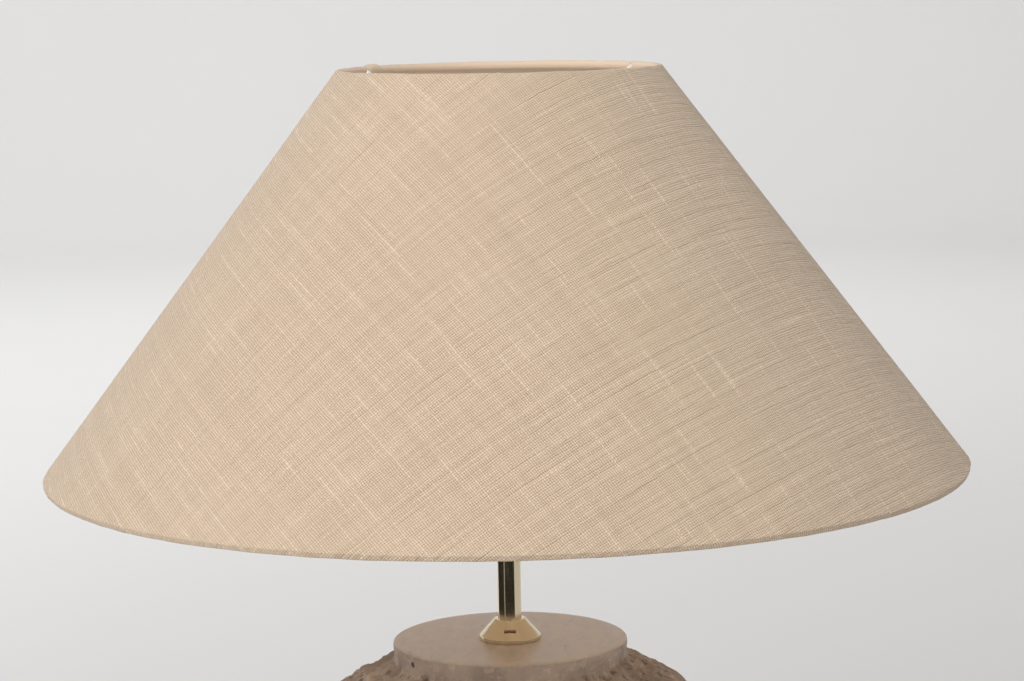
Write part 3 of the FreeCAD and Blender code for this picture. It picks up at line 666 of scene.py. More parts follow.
def cast_material(sizes, colours):
    """Cast body: rough, pitted and brown where the mesh says so, smooth and satin on the top, with painted
    shade darkening the pits, the deepest hollows and the one large pit of the neck.
    """
    rough_tone, top_tone = tuple(colours.cast), tuple(colours.cast_top)
    g, shader, place = new_material("stone", IOR=1.5)
    zone = g.node("ShaderNodeAttribute", attribute_name="roughcast").outputs["Fac"]
    hollow = g.node("ShaderNodeAttribute", attribute_name="hollow").outputs["Fac"]
    grain = use(g, cast_grain(), Vector=place, Pits=150.0)
    reddish = (rough_tone[0] * 1.08, rough_tone[1] * 0.86, rough_tone[2] * 0.74)
    rough = g.mix(g.spread(grain["Cloud"], 0.38, 0.66), faded(rough_tone, 0.72), faded(rough_tone, 1.18))
    rough = g.mix(g.spread(grain["Lumps"], 0.52, 0.74, 0.0, 0.8), rough, faded(rough_tone, 1.55))
    rough = g.mix(g.times(grain["Stain"], 0.75), rough, faded(reddish, 0.78))
    rough = g.mix(g.spread(grain["Sand"], 0.45, 0.8, 0.0, 0.5), rough, faded(rough_tone, 0.50))
    # painted shade: the open pits and the deepest hollows of the relief are darkened towards a third of the
    # cast colour
    open_pits = g.times(grain["Pits"], g.spread(zone, 0.65, 0.95))
    deep = g.math("MAXIMUM", g.times(open_pits, 0.6), g.times(hollow, 0.7))
    rough = g.mix(deep, rough, faded(rough_tone, 0.32))
    brushed = g.noise(g.vector("MULTIPLY", place, (1.0, 0.35, 1.0)), 120.0, 5.0, 0.65, 0.6)
    top = g.mix(g.spread(brushed, 0.38, 0.66), faded(top_tone, 0.84), faded(top_tone, 1.08))
    olive = (top_tone[0] * 0.92, top_tone[1] * 0.88, top_tone[2] * 0.66)
    top = g.mix(g.times(grain["Stain"], 0.35), top, faded(olive, 0.95))
    top = g.mix(g.spread(grain["Sand"], 0.55, 0.85, 0.0, 0.35), top, faded(top_tone, 0.70))
    hue = g.spread(zone, 0.0, 0.28, smooth=True)
    far = g.vector("SUBTRACT", place, neck_pit(sizes))
    pit = g.times(g.noise(place, 500.0), 0.0008, g.vector("LENGTH", far, output=1))
    pit = g.spread(pit, 0.0016, 0.0024, 1.0, 0.0, smooth=True)
    # painted shade: the one large pit of the neck is darkened nearly to black, as the shadow inside the hole
    painted = g.mix(g.times(pit, 0.85), g.mix(hue, top, rough), faded(rough_tone, 0.10))
    satin = g.spread(brushed, 0.3, 0.7, 0.26, 0.40)
    dull = g.blend(zone, satin, g.spread(grain["Sand"], 0.3, 0.7, 0.78, 0.95))
    height = g.times(open_pits, -0.8, g.times(grain["Sand"], 0.35, grain["Lumps"]))
    height = g.times(pit, -0.8, g.times(height, g.times(zone, 0.97, 0.03)))
    g.finish(shader, painted, dull, height, 0.0013)


def make_materials(sizes, colours):
    """Every material once, under the name of the record's slot that it stands for."""
    brass = tuple(colours.brass)
    cast_material(sizes, colours)
    fibrous("board", display(0.50, 0.42, 0.34), 0.85, 0.00012, 1.4)
    fibrous("felt", tuple(colours.felt), 0.95, 0.0005, 1.0, Sheen_Weight=0.4)
    moulded("black_rubber", display(0.13, 0.125, 0.12), 0.62, 1.5)
    metal("steel", display(0.70, 0.69, 0.67), 0.34, 1.2, 0.1)
    metal("polished_brass", brass, 0.11, 0.45, 0.05)
    metal("brass_plated_steel", tuple(c * 0.94 for c in brass), 0.17, 1.0, 0.25)
    metal("brass", tuple(c * 0.88 for c in brass), 0.26, 1.0, 0.4)
    fibrous("liner_card", display(0.62, 0.54, 0.42), 0.8, 0.00008, 1.6)
    moulded("dark_plastic", display(0.17, 0.14, 0.12), 0.28, 1.0, Coat_Weight=0.3)
    metal("solder", display(0.76, 0.76, 0.74), 0.30, 1.0, 0.2)
    moulded("black_glass", display(0.12, 0.10, 0.15), 0.12, 0.6)
    metal("nickel", display(0.80, 0.79, 0.76), 0.20, 1.0, 0.1)
    moulded("bulb_plastic", display(0.92, 0.92, 0.90), 0.38, 0.8)
    moulded("circuit_board", display(0.93, 0.93, 0.92), 0.45, 1.0)
    moulded("opal", display(0.96, 0.955, 0.94), 0.30, 0.4, Subsurface_Weight=0.15)
    linen_material(sizes, colours)
    lining_material(colours)
    moulded("white_enamel", tuple(colours.enamel), 0.26, 1.2, Coat_Weight=0.4)


def material_for(slot):
    return bpy.data.materials[f"{slot} finish"]


def finish_nodes(*nodes):
    """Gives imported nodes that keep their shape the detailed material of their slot."""
    for node in nodes:
        made = frame["nodes"][node]
        for place in made.material_slots:
            place.material = material_for(slot_of(node))


# ---------------------------------------------------------------- base

def jar_profile(sizes):
    """The jar's outline as a closed path, up the outside and down the inside, with a roughness for each
    point: 1 on the cast foot, flank and shoulder, falling to 0 over the lower part of the neck."""
    top, floor, belly = JAR_HIGH[2], JAR_LOW[2], JAR_HIGH[0]
    fine, coarse, inside = 2.2 * MM, 4.5 * MM, 12 * MM
    shoulder = np.array([belly - sizes.shoulder_arc, sizes.belly_height])
    flank = np.array([belly - sizes.flank_arc, sizes.belly_height])
    foot, wall, neck = sizes.foot_radius, sizes.jar_wall, sizes.neck_radius
    start_z = sizes.foot_top + 2 * MM
    flank_start = math.degrees(math.asin((start_z - flank[1]) / sizes.flank_arc))
    neck_foot = neck + 1.5 * MM
    shoulder_end = math.degrees(math.acos((neck_foot - shoulder[0]) / sizes.shoulder_arc))
    round_centre = (neck - sizes.edge_round, top - sizes.edge_round)
    outside = joined(straight((foot, floor), (foot, sizes.foot_top), fine),
                     swing(flank, sizes.flank_arc, flank_start, 0, fine),
                     swing(shoulder, sizes.shoulder_arc, 0, shoulder_end, fine))
    rim = joined(straight((neck, top - sizes.neck_drop + 2 * MM), (neck, top - sizes.edge_round), 1.2 * MM),
                 swing(round_centre, sizes.edge_round, 0, 90, 0.4 * MM))
    face = straight((neck - sizes.edge_round, top), (ROD_HOLE, top), coarse)
    inner_start = math.degrees(math.acos((neck - wall - shoulder[0]) / (sizes.shoulder_arc - wall)))
    inner_end = math.degrees(math.asin((start_z - flank[1]) / (sizes.flank_arc - wall)))
    ceiling = shoulder + (sizes.shoulder_arc - wall) * heading(inner_start)
    seat_radius, seat_top = COVER_RECESS + (0, floor)
    hidden = joined(straight((ROD_HOLE, top - JAR_CEILING), (ceiling[0], top - JAR_CEILING), inside),
                    swing(shoulder, sizes.shoulder_arc - wall, inner_start, 0, inside),
                    swing(flank, sizes.flank_arc - wall, 0, inner_end, inside),
                    straight((foot - wall, sizes.foot_top), (foot - wall, seat_top), inside),
                    straight((seat_radius, seat_top), (seat_radius, floor)))
    profile = np.concatenate([outside, rim, face[1:], hidden])
    rough = np.zeros(len(profile))
    rough[:len(outside)] = 1.0
    neck_rows = slice(len(outside), len(outside) + len(rim))
    rough[neck_rows] = (0.3 + 0.3 * (1 - smooth_step(top - sizes.neck_drop, top - 2.5 * MM, rim[:, 1])))
    rough[neck_rows] *= 1 - smooth_step(top - 0.9 * MM, top - 0.1 * MM, rim[:, 1])
    return profile, rough


def cast_relief(points, height):
    """How far the cast surface stands out at each point, and a mask of its deepest hollows. It is three sizes
    of smooth noise, flat-sided chips from the gap between the two nearest strewn grains, and round holes."""
    waves = sum(share * soft_noise(points, size * MM, seed)
                for share, size, seed in ((0.60, 26, 11), (0.62, 12, 12), (0.34, 5.6, 13), (0.22, 3.0, 14)))
    near, second = grain_distance(points, 9 * MM, 21)
    chips = smooth_step(0.0, 0.28, second - near) - 0.55
    spot, _ = grain_distance(points, 6.5 * MM, 31)
    holes = (1 - smooth_step(0.10, 0.34, spot)) * smooth_step(-0.15, 0.25, soft_noise(points, 17 * MM, 32))
    relief = height * (0.62 * waves + 0.42 * chips - 0.85 * holes)
    return relief, holes


def build_jar(sizes, material):
    """Jar: the outline carried round Z and pushed out by the relief, with the cord's hole cut through its
    back. The maps named roughcast and hollow tell the material where the surface is rough and where its
    deepest hollows lie, which the material darkens as painted shade."""
    profile, rough = jar_profile(sizes)
    turns = circle(400)
    grid = revolve(profile, turns)
    outward = revolve(profile_normals(profile, True), turns)
    relief, holes = cast_relief(grid, sizes.lump)
    seat = smooth_step(JAR_LOW[2] + 1 * MM, JAR_LOW[2] + 5 * MM, grid[..., 2])
    share = rough[:, None] ** 2 * seat
    near_neck = smooth_step(JAR_HIGH[2] - 30 * MM, JAR_HIGH[2] - 12 * MM, grid[..., 2])
    level = -(0.25 + 0.55 * near_neck) * sizes.lump
    grid = grid + outward * (share * (relief + level))[..., None]
    mesh = mesh_from_grid("jar", grid, closed=True, sharp=55)
    for name, values in (("roughcast", rough[:, None] + 0 * turns), ("hollow", holes * share)):
        layer = mesh.attributes.new(name, "FLOAT", "POINT")
        layer.data.foreach_set("value", values.astype(np.float32).ravel())
    made = piece("jar", mesh, "lamp_base", "base_body", material)
    low, high = corners("cord_bush")
    middle = (low + high) / 2
    barrel = (high[0] - low[0]) / 2 - 2.4 * MM
    carve(made, [bar(barrel, (0, low[1] - 4 * MM, middle[2]), (0, high[1] + 9 * MM, middle[2]))], 55)


def build_felt(material):
    """A disc with a soft rounded edge whose rim is pulled in a little, unevenly."""
    low, high = corners("felt_pad")
    edge, thick = high[0], high[2] - low[2]
    soft = 0.9 * MM
    outline = [(0, 0, 0), (edge, 0, soft), (edge, thick, soft), (0, thick, 0)]
    profile = softened(outline, 0.2 * MM, closed=False)
    grid = revolve(profile, circle(180))
    ragged = 0.25 * MM * soft_noise(grid, 3 * MM, 41) * smooth_step(edge * 0.9, edge, profile[:, :1])
    grid[..., :2] *= (1 - np.abs(ragged) / edge)[..., None]
    piece("felt_disc", mesh_from_grid("felt_disc", grid), "lamp_base", "felt_pad", material)


# ---------------------------------------------------------------- stem, holder and bulb

# Radius, depth of the axis and half length of each bar that cuts a slot of the collar, in millimetres.
COLLAR_SLOT = ((1.25, 0.4, 3.25), (1.21, 1.4, 3.22), (1.17, 2.4, 3.19), (1.13, 3.6, 3.16))


def build_collar(material):
    """Turned collar: a thin lip, a straight cone and a small rolled rim round the tube, with two slots.
    Each slot is a row of bars that lie one behind the other and end a little short of each other."""
    low, high = corners("collar")
    base, foot, height = high[0], low[2], high[2] - low[2]
    tube = corners("cover_tube")[1][0]
    rim = tube + 1.9 * MM
    lip = 2.1 * MM
    seat = tube + 0.05 * MM
    outline = [(ROD_HOLE, 0, 0), (base, 0, 0.4 * MM), (base, lip, 0.8 * MM), (rim, height, 0.8 * MM),
               (seat, height, 0.15 * MM), (seat, height - 6 * MM, 0), (ROD_HOLE, height - 6 * MM, 0)]
    profile = dense(softened(outline, 0.15 * MM), 0.8 * MM) + [0, foot]
    made = lathe("stem_collar", profile, "lamp_base", "collar", material, columns=192)
    middle = foot + height * 0.53
    out = (base + rim) / 2
    slots = []
    for side in (-1, 1):
        for radius, deep, half in COLLAR_SLOT:
            y = side * (out - deep * MM)
            slots.append(bar(radius * MM, (-half * MM, y, middle), (half * MM, y, middle)))
    carve(made, slots)


def build_bulb_cap(material):
    """Screw cap: the radius follows a rounded thread that climbs a pitch a turn, between two plain bands."""
    low, high = corners("bulb_cap")
    crest = high[0]
    depth, pitch = 0.75 * MM, 3.62 * MM
    height, turn = np.meshgrid(np.linspace(low[2], high[2], 110), circle(96), indexing="ij")
    phase = (height - low[2]) / pitch * 2 * math.pi - turn
    inside = smooth_step(low[2] + 1.5 * MM, low[2] + 3 * MM, height)
    inside = inside * (1 - smooth_step(high[2] - 5 * MM, high[2] - 3.5 * MM, height))
    radius = crest - depth * (0.5 - 0.5 * np.cos(phase)) * inside - 0.35 * MM * (1 - inside)
    radius = radius - 1.2 * MM * (1 - smooth_step(low[2], low[2] + 1.2 * MM, height)) ** 2
    bore = (crest - 1.3 * MM) + 0 * height
    outer, inner = (np.stack([r * np.cos(turn), r * np.sin(turn), height], -1) for r in (radius, bore))
    foot = inner[:1] * (0.93, 0.93, 1)
    grid = np.concatenate([outer, inner[::-1], foot])
    mesh = mesh_from_grid("bulb_screw", grid, closed=True, sharp=50)
    piece("bulb_screw", mesh, "bulb", "bulb_cap", material)


def build_bulb(housing_material, dome_material):
    """Housing: a waisted body that widens from the cap by a cosine. Dome: a hollow sphere's top."""
    low, high = corners("bulb_dome")
    foot = corners("bulb_housing")[0][2]
    radius = high[0]
    centre = high[2] - radius
    join_z = low[2]
    join_r = math.sqrt(radius ** 2 - (centre - join_z) ** 2)
    cap_top = corners("bulb_cap")[1][2]
    climb = np.linspace(0, 1, 30)
    neck_r, plug = 14.0 * MM, 12.2 * MM
    swell = 0.5 - 0.5 * np.cos(np.pi * climb ** 0.85)
    body = np.column_stack([neck_r + (join_r - 0.25 * MM - neck_r) * swell,
                            cap_top + 0.2 * MM + (join_z - cap_top - 0.5 * MM) * climb])
    shell = np.concatenate([[[0, foot], [plug, foot], [plug, cap_top + 0.2 * MM]], body,
                            [[join_r - 1.6 * MM, join_z - 0.3 * MM], [neck_r - 1.8 * MM, cap_top + 1.6 * MM],
                             [0, cap_top + 1.6 * MM]]])
    lathe("bulb_body", shell, "bulb", "bulb_housing", housing_material, closed=False, sharp=50)
    start = math.degrees(math.asin((join_z - centre) / radius))
    inner = radius - 1.2 * MM
    inside = math.degrees(math.asin((join_z - centre) / inner))
    dome = np.concatenate([swing((0, centre), radius, start, 90, 1.2 * MM),
                           swing((0, centre), inner, 90, inside, 1.6 * MM)])
    lathe("bulb_glass", dome, "bulb", "bulb_dome", dome_material)


def build_holder(material):
    """Two-part pressed brass holder with soft bends: the bell below, and the shell with a beaded mouth."""
    low, high = corners("socket_cap")
    skin, outer, foot = 0.8 * MM, high[0], low[2]
    hub, bore = 8.5 * MM, 5.05 * MM
    mouth = high[2] - foot
    bell = [(bore, 0, 0), (hub, 0, 0.5 * MM), (hub, 5.2 * MM, 1.2 * MM), (hub + 5.2 * MM, 8.6 * MM, 2.5 * MM),
            (outer, 15 * MM, 3.5 * MM), (outer, mouth, 0.3 * MM), (outer - skin, mouth, 0.3 * MM),
            (outer - skin, 15.4 * MM, 3 * MM), (hub + 4.6 * MM, 9.6 * MM, 2 * MM),
            (hub - 0.6 * MM, 7 * MM, 0.4 * MM), (bore, 7 * MM, 0)]
    lathe("holder_bell", softened(bell) + [0, foot], "lamp_base", "socket_cap", material)
    low, high = corners("socket_shell")
    outer, foot, height = high[0] - 0.6 * MM, low[2], high[2] - low[2]
    skin, bead, lip = 0.6 * MM, 0.6 * MM, 1.6 * MM
    shell = [(outer - skin, 0, 0.1 * MM), (outer, 0, 0.1 * MM), (outer, height - 6.4 * MM, 0.5 * MM),
             (outer + bead, height - 5.2 * MM, 0.9 * MM), (outer + bead, height - 4.4 * MM, 0.9 * MM),
             (outer, height - 3.2 * MM, 0.5 * MM), (outer, height, 0.4 * MM), (outer - lip, height, 0.1 * MM),
             (outer - lip, height - skin, 0.1 * MM), (outer - skin, height - skin, 0.2 * MM)]
    made = lathe("holder_shell", softened(shell) + [0, foot], "lamp_base", "socket_shell", material)
    key = sum(corners("key_shaft"))[2] / 2
    carve(made, [bar(2.2 * MM, (0, -8 * MM, key), (0, -26 * MM, key))])


def build_finial(material):
    """Turned finial: base disc, cove and ball, with a fine ring cut where the cove meets the ball."""
    low, high = corners("finial_knob")
    radius = high[0]
    centre = high[2] - radius
    foot = low[2]
    base = 7.5 * MM
    waist = 5.3 * MM
    waist_z = foot + 4.0 * MM
    ball_foot = waist_z + 1.6 * MM
    start = math.degrees(math.asin((ball_foot - centre) / radius))
    stem = softened([(4.25 * MM, foot, 0), (base, foot, 0.4 * MM), (base, foot + 1.7 * MM, 0.6 * MM),
                     (waist + 0.3 * MM, foot + 2.6 * MM, 0.8 * MM), (waist, waist_z, 0.3 * MM),
                     (radius * heading(start)[0], ball_foot, 0)], 0.15 * MM, closed=False)
    ball = swing((0, centre), radius, start, 90, 0.5 * MM)
    ball[-1, 0] = 0
    top = corners("harp_stud")[1][2] + 1.5 * MM
    pocket = np.array([[0, top], [3.3 * MM, top], [3.3 * MM, foot + 9.1 * MM], [4.25 * MM, foot + 9.1 * MM]])
    lathe("finial_ball", joined(stem, ball, pocket), "finial", "finial_knob", material)


# ---------------------------------------------------------------- shade

def seam_turns(seam):
    """Angles round the shade, starting at the lap's edge and packed closely beside it."""
    beside = np.array([0, 0.15, 0.4, 0.8, 1.3, 1.9, 2.6, 3.4, 4.3, 5.3, 6.5])
    rest = np.linspace(7.25, 359, 468)
    return seam + np.radians(np.r_[beside, rest, 359.6, 359.85])


def cloth_path(sizes, radius):
    """Profile of one face of the cloth at a given distance from the rings' centres: from the lower tuck under
    the ring, up the hem's own narrow face, over its crisp fold, up the slope, to the upper tuck. Also its
    length along the cut, 0 where the hem meets the slope."""
    tuck = math.degrees(sizes.tuck)
    under = -100
    edge = BOTTOM_RING + radius * OUT + 0.64 * radius * DOWN
    fall = edge + 1.28 * radius * np.array([-0.35, -0.94])
    start = BOTTOM_RING + radius * heading(under)
    hem = softened([(*start, 0), (*fall, 0.4 * radius), (*edge, 0.12 * radius),
                    (*(BOTTOM_RING + radius * OUT - 0.2 * radius * DOWN), 0)], 0.3 * MM, closed=False)
    lower = joined(swing(BOTTOM_RING, radius, OUT_ANGLE - 180 - tuck, under, 0.45 * MM), dense(hem, 0.6 * MM))
    upper = swing(TOP_RING, radius, OUT_ANGLE, OUT_ANGLE + 180 + tuck, 0.45 * MM)
    slope = straight(lower[-1], upper[0], 9 * MM)[1:-1]
    path = np.concatenate([lower, slope, upper])
    run = np.r_[0, np.cumsum(np.hypot(*np.diff(path, axis=0).T))]
    return path, run - run[len(lower) - 1]


def build_cloth(sizes, material):
    """Cloth of the shade as one closed skin: the outer and the inner profile, both rolled round the rings and
    carried round Z. The outer face also has a lap at the seam, a gentle unevenness, and a hem that wanders.
    The map named Cut holds each point's place in the flat sector: distance from the cone's apex, turned by
    the azimuth times the cone's half-angle sine."""
    outer, run_out = cloth_path(sizes, ROLL)
    inner, run_in = cloth_path(sizes, ROLL - sizes.cloth)
    turns = seam_turns(sizes.seam)
    sine = float(DOWN[0])
    faces = []
    for path, run, proud in ((outer, run_out, 1.0), (inner, run_in, 0.0)):
        grid = revolve(path, turns)
        outward = revolve(profile_normals(path, False), turns)
        lap = smooth_step(sizes.lap, sizes.lap - 3 * MM, (turns - turns[0]) * path[:, :1])
        slope = smooth_step(-1 * MM, 2 * MM, run) * smooth_step(SLANT + 1 * MM, SLANT - 2 * MM, run)
        hem = 1 - slope[:, None]
        ripple = 0.10 * MM * soft_noise(grid, 22 * MM, 51) + 0.22 * MM * hem * soft_noise(grid, 7 * MM, 52)
        top_end = smooth_step(SLANT - 3 * MM, SLANT + 3 * MM, run)
        rise = ripple + lap * (0.65 * MM + 0.45 * MM * top_end[:, None])
        hold = smooth_step(run[0], run[0] + 2 * MM, run) * smooth_step(run[-1], run[-1] - 2 * MM, run)
        grid = grid + outward * (proud * rise * hold[:, None])[..., None]
        far = TOP_EDGE + SLANT - run[:, None]
        around = (np.r_[turns, turns[0] + 2 * math.pi] + math.pi / 2 - 2 * math.pi) * sine
        cut = np.stack([far * np.sin(around), -far * np.cos(around)], -1)
        faces.append((grid, cut))
    grid, cut = (np.concatenate([outside, inside[::-1]]) for outside, inside in zip(*faces))
    mesh = mesh_from_grid("shade_cloth", grid, closed=True, uv=cut, sharp=60)
    made = piece("shade_cloth", mesh, "shade", "shade_cover", material)
    carve(made, arm_slits(), 60)
    return made


def arm_slits():
    """Cutters for the slits that let the three arms through the upper roll, one to each arm."""
    ends = TOP_RING + (-9 * MM, -6.2 * MM), TOP_RING + (0.9 * MM, 1.6 * MM)
    return [bar(1.7 * MM, *((*(r * heading(turn)), z) for r, z in ends)) for turn in (-90, 30, 150)]


def build_lining(sizes, material):
    """Lining: a thin closed cone between the rings with its own lap, a little uneven."""
    outside = ROLL - sizes.cloth - 0.05 * MM
    inside = outside - sizes.lining
    short = 1.6 * MM
    top_out, top_in = (TOP_RING + short * DOWN + d * OUT for d in (outside, inside))
    low_out, low_in = (BOTTOM_RING - short * DOWN + d * OUT for d in (outside, inside))
    profile = np.concatenate([straight(low_out, top_out, 12 * MM), straight(top_in, low_in, 12 * MM)])
    turns = seam_turns(sizes.seam + math.radians(9))
    grid = revolve(profile, turns)
    inner_face = (np.arange(len(profile)) >= len(profile) // 2)[:, None]
    arc = (turns - turns[0]) * profile[:, :1]
    lap = smooth_step(sizes.lap + 3 * MM, sizes.lap + 2 * MM, arc)
    inward = inner_face * (0.5 * MM * lap + 0.12 * MM * (1 + soft_noise(grid, 30 * MM, 61)))
    outward = revolve(np.broadcast_to(OUT, profile.shape), turns)
    grid = grid - outward * inward[..., None]
    mesh = mesh_from_grid("shade_liner", grid, closed=True)
    piece("shade_liner", mesh, "shade", "shade_lining", material)


# ---------------------------------------------------------------- studio

FLOOR_RADIUS = 5.2
SWEEP = 1.4
WALL_TOP = 3.6
FLAG_RADIUS = 0.8
FLAG_HEIGHT = 0.42
FLAG_ARCS = ((-218, -138), (-134.5, -37))      # degrees from +X towards +Y


def build_backdrop(colours):
    """Floor and wall in one: a disc that sweeps up by a quarter circle into a round wall. It is open under
    the middle of the felt, so that the felt is lit when it is seen from below."""
    hole = corners("felt_pad")[1][0] * 0.97
    profile = joined(straight((hole, 0), (FLOOR_RADIUS, 0), 0.4),
                     swing((FLOOR_RADIUS, SWEEP), SWEEP, -90, 0, 0.1),
                     straight((FLOOR_RADIUS + SWEEP, SWEEP), (FLOOR_RADIUS + SWEEP, WALL_TOP), 0.4))
    mesh = mesh_from_grid("studio_floor", revolve(profile, circle(192))[:, ::-1])
    floor = linked("studio_floor", mesh)
    material = bpy.data.materials.new("studio_paper")
    material.use_nodes = True
    g = Graph(material.node_tree)
    shader = material.node_tree.nodes["Principled BSDF"]
    shader.inputs["Roughness"].default_value = 0.9
    place = g.node("ShaderNodeTexCoord").outputs["Object"]
    tone = tuple(colours.studio)
    g.feed(shader.inputs["Base Color"], g.mix(g.noise(place, 3.0, 3.0), faded(tone, 0.99), faded(tone, 1.01)))
    clear = g.node("ShaderNodeBsdfTransparent").outputs[0]
    side = g.node("ShaderNodeNewGeometry").outputs["Backfacing"]
    mixed = g.node("ShaderNodeMixShader", {0: side, 1: shader.outputs[0], 2: clear}).outputs[0]
    out = material.node_tree.nodes["Material Output"]
    g.feed(out.inputs["Surface"], mixed)
    mesh.materials.append(material)


def build_flags():
    """Two low dark screens that only mirror reflections see. They give the polished brass its dark bands,
    and the gap between them gives the light line."""
    material = bpy.data.materials.new("studio_dark")
    material.use_nodes = True
    material.node_tree.nodes["Principled BSDF"].inputs["Base Color"].default_value = (0.012, 0.011, 0.009, 1)
    profile = np.array([[FLAG_RADIUS, 0.0], [FLAG_RADIUS, FLAG_HEIGHT]])
    for number, (start, end) in enumerate(FLAG_ARCS):
        turns = np.radians(np.linspace(start, end, 40))
        mesh = mesh_from_grid(f"studio_flag_{number}", revolve(profile, turns), around=False)
        mesh.materials.append(material)
        flag = linked(mesh.name, mesh)
        flag.visible_camera = False
        flag.visible_diffuse = False
        flag.visible_shadow = False


def area_light(name, place, target, size, power, tone):
    """A rectangular soft light that faces its target."""
    data = bpy.data.lights.new(name, "AREA")
    data.shape = "RECTANGLE"
    data.size, data.size_y = size
    data.energy = power
    data.color = tone
    made = linked(name, data)
    made.location = place
    made.rotation_euler = (Vector(target) - Vector(place)).to_track_quat("-Z", "Y").to_euler()


def build_lights():
    """The key light and a weak fill on the lamp, two lights on the backdrop, and a pale even sky."""
    aim = (0, 0, 0.5)
    area_light("key", (-1.8, -2.9, 2.9), aim, (1.8, 1.8), 104, (1.0, 0.985, 0.965))
    area_light("fill", (2.2, -2.8, 1.6), aim, (2.4, 2.0), 3, (1.0, 0.97, 0.93))
    area_light("far_wash", (-0.6, 3.2, 3.2), (-0.4, 6.2, 0.0), (3.0, 1.2), 72, (1.0, 1.0, 1.0))
    area_light("left_wash", (-1.9, 1.6, 1.4), (-0.6, 2.7, 0.0), (1.5, 1.0), 14.5, (1.0, 1.0, 1.0))
    world = bpy.data.worlds.new("studio_air")
    world.use_nodes = True
    sky = world.node_tree.nodes["Background"]
    sky.inputs["Color"].default_value = (1.0, 0.985, 0.965, 1)
    sky.inputs["Strength"].default_value = 0.60
    bpy.context.scene.world = world


CAMERA_LENS_MM = 100.3
CAMERA_SIDE = 0.0042
CAMERA_BACK = 1.5368
CAMERA_RISE = 0.2736       # above the shade's lower rim
CAMERA_PITCH = -7.577
CAMERA_ROLL = -1.126


def build_camera():
    """The camera stands in front of the lamp, a little above the shade, and looks slightly down."""
    data = bpy.data.cameras.new("camera")
    data.lens = CAMERA_LENS_MM
    made = linked("camera", data)
    place = Matrix.Translation((CAMERA_SIDE, -CAMERA_BACK, COVER_LOW[2] + CAMERA_RISE))
    pitch = Matrix.Rotation(math.radians(90 + CAMERA_PITCH), 4, "X")
    roll = Matrix.Rotation(math.radians(CAMERA_ROLL), 4, "Z")
    made.matrix_world = place @ pitch @ roll
    bpy.context.scene.camera = made


# ---------------------------------------------------------------- operators

class LAMP_OT_materials(bpy.types.Operator):
    """Makes every material of the lamp"""
    bl_idname = "lamp.materials"
    bl_label = "Make materials"

    def execute(self, context):
        make_materials(context.scene.lamp_sizes, context.scene.lamp_colours)
        return {"FINISHED"}


class LAMP_OT_base(bpy.types.Operator):
    """Builds the rough cast jar and its felt, and finishes the board, the bush and the nuts inside"""
    bl_idname = "lamp.base"
    bl_label = "Build base"

    def execute(self, context):
        build_jar(context.scene.lamp_sizes, material_for("stone"))
        build_felt(material_for("felt"))
        finish_nodes("base_cover", "cord_bush", "rod_washer", "lock_washer", "rod_nut")
        return {"FINISHED"}


class LAMP_OT_stem(bpy.types.Operator):
    """Builds the brass collar and finishes the tube and the threaded rod"""
    bl_idname = "lamp.stem"
    bl_label = "Build stem"

    def execute(self, context):
        build_collar(material_for("polished_brass"))
        finish_nodes("cover_tube", "threaded_rod")
        return {"FINISHED"}


class LAMP_OT_holder(bpy.types.Operator):
    """Builds the lamp holder's brass shells and finishes its inner pieces and the key"""
    bl_idname = "lamp.holder"
    bl_label = "Build holder"

    def execute(self, context):
        build_holder(material_for("polished_brass"))
        finish_nodes("socket_liner", "socket_body", "terminal_screws", "screw_shell", "centre_contact",
                     "key_shaft", "key_knob")
        return {"FINISHED"}


class LAMP_OT_bulb(bpy.types.Operator):
    """Builds the bulb's screw cap, body and dome"""
    bl_idname = "lamp.bulb"
    bl_label = "Build bulb"

    def execute(self, context):
        build_bulb_cap(material_for("nickel"))
        build_bulb(material_for("bulb_plastic"), material_for("opal"))
        finish_nodes("bulb_contact", "bulb_insulator", "bulb_led_plate")
        return {"FINISHED"}


class LAMP_OT_harp(bpy.types.Operator):
    """Builds the finial and finishes the harp, its saddle, ferrules and stud"""
    bl_idname = "lamp.harp"
    bl_label = "Build harp"

    def execute(self, context):
        build_finial(material_for("polished_brass"))
        finish_nodes("harp", "harp_saddle", "ferrule_left", "ferrule_right", "harp_stud", "finial_insert")
        return {"FINISHED"}


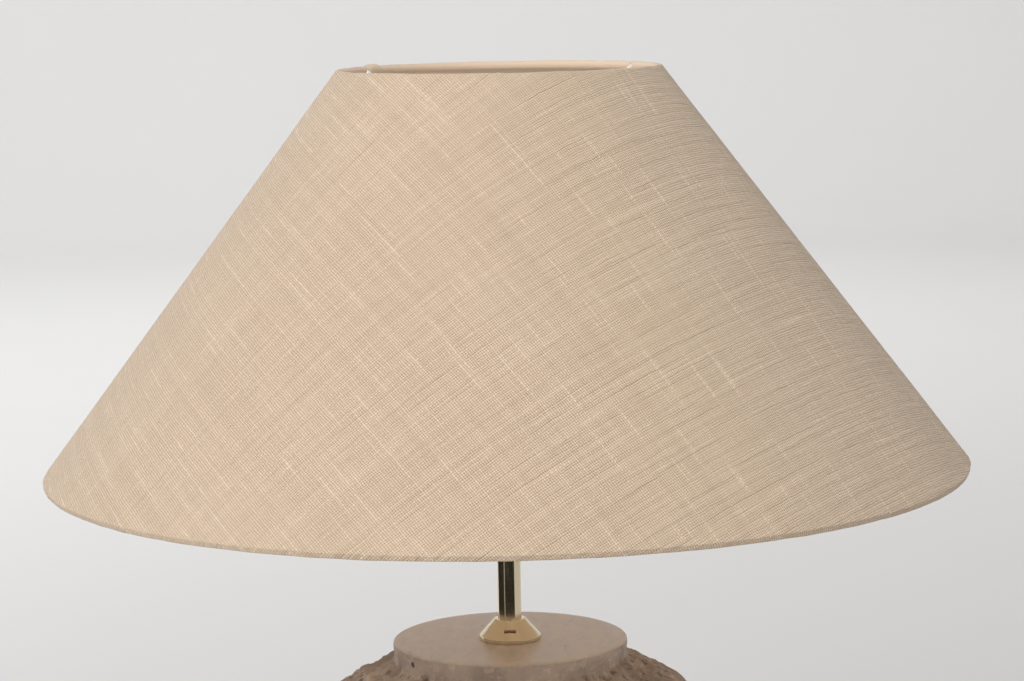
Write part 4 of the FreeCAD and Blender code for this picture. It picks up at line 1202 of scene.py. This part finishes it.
class LAMP_OT_shade(bpy.types.Operator):
    """Builds the linen cover and its lining, and finishes the wire frame"""
    bl_idname = "lamp.shade"
    bl_label = "Build shade"

    def execute(self, context):
        sizes = context.scene.lamp_sizes
        cloth = build_cloth(sizes, material_for("linen"))
        build_lining(sizes, material_for("lining"))
        finish_nodes("top_frame", "bottom_ring")
        return {"FINISHED"}


class LAMP_OT_studio(bpy.types.Operator):
    """Sets up the floor, the lights and the camera"""
    bl_idname = "lamp.studio"
    bl_label = "Set up studio"

    def execute(self, context):
        build_backdrop(context.scene.lamp_colours)
        build_flags()
        build_lights()
        build_camera()
        context.scene.view_settings.view_transform = "Standard"
        return {"FINISHED"}


class LAMP_PT_panel(bpy.types.Panel):
    """Lists the lamp's build steps, sizes and colours"""
    bl_idname = "LAMP_PT_panel"
    bl_label = "Table Lamp"
    bl_space_type = "VIEW_3D"
    bl_region_type = "UI"
    bl_category = "Table Lamp"

    def draw(self, context):
        for step in STEPS:
            self.layout.operator(step.bl_idname)
        for group_name in ("lamp_sizes", "lamp_colours"):
            values = getattr(context.scene, group_name)
            box = self.layout.box()
            for key in values.__annotations__:
                box.prop(values, key)


STEPS = (LAMP_OT_materials, LAMP_OT_studio, LAMP_OT_base, LAMP_OT_stem, LAMP_OT_holder, LAMP_OT_bulb,
         LAMP_OT_harp, LAMP_OT_shade)
CLASSES = (LampSizes, LampColours, *STEPS, LAMP_PT_panel)


def register():
    for made in CLASSES:
        bpy.utils.register_class(made)
    bpy.types.Scene.lamp_sizes = bpy.props.PointerProperty(type=LampSizes)
    bpy.types.Scene.lamp_colours = bpy.props.PointerProperty(type=LampColours)


def unregister():
    del bpy.types.Scene.lamp_colours
    del bpy.types.Scene.lamp_sizes
    for made in reversed(CLASSES):
        bpy.utils.unregister_class(made)


def main():
    register()
    bpy.ops.lamp.materials()
    bpy.ops.lamp.studio()
    bpy.ops.lamp.base()
    bpy.ops.lamp.stem()
    bpy.ops.lamp.holder()
    bpy.ops.lamp.bulb()
    bpy.ops.lamp.harp()
    bpy.ops.lamp.shade()
    bpy.context.view_layer.update()


if __name__ == "__main__":
    main()
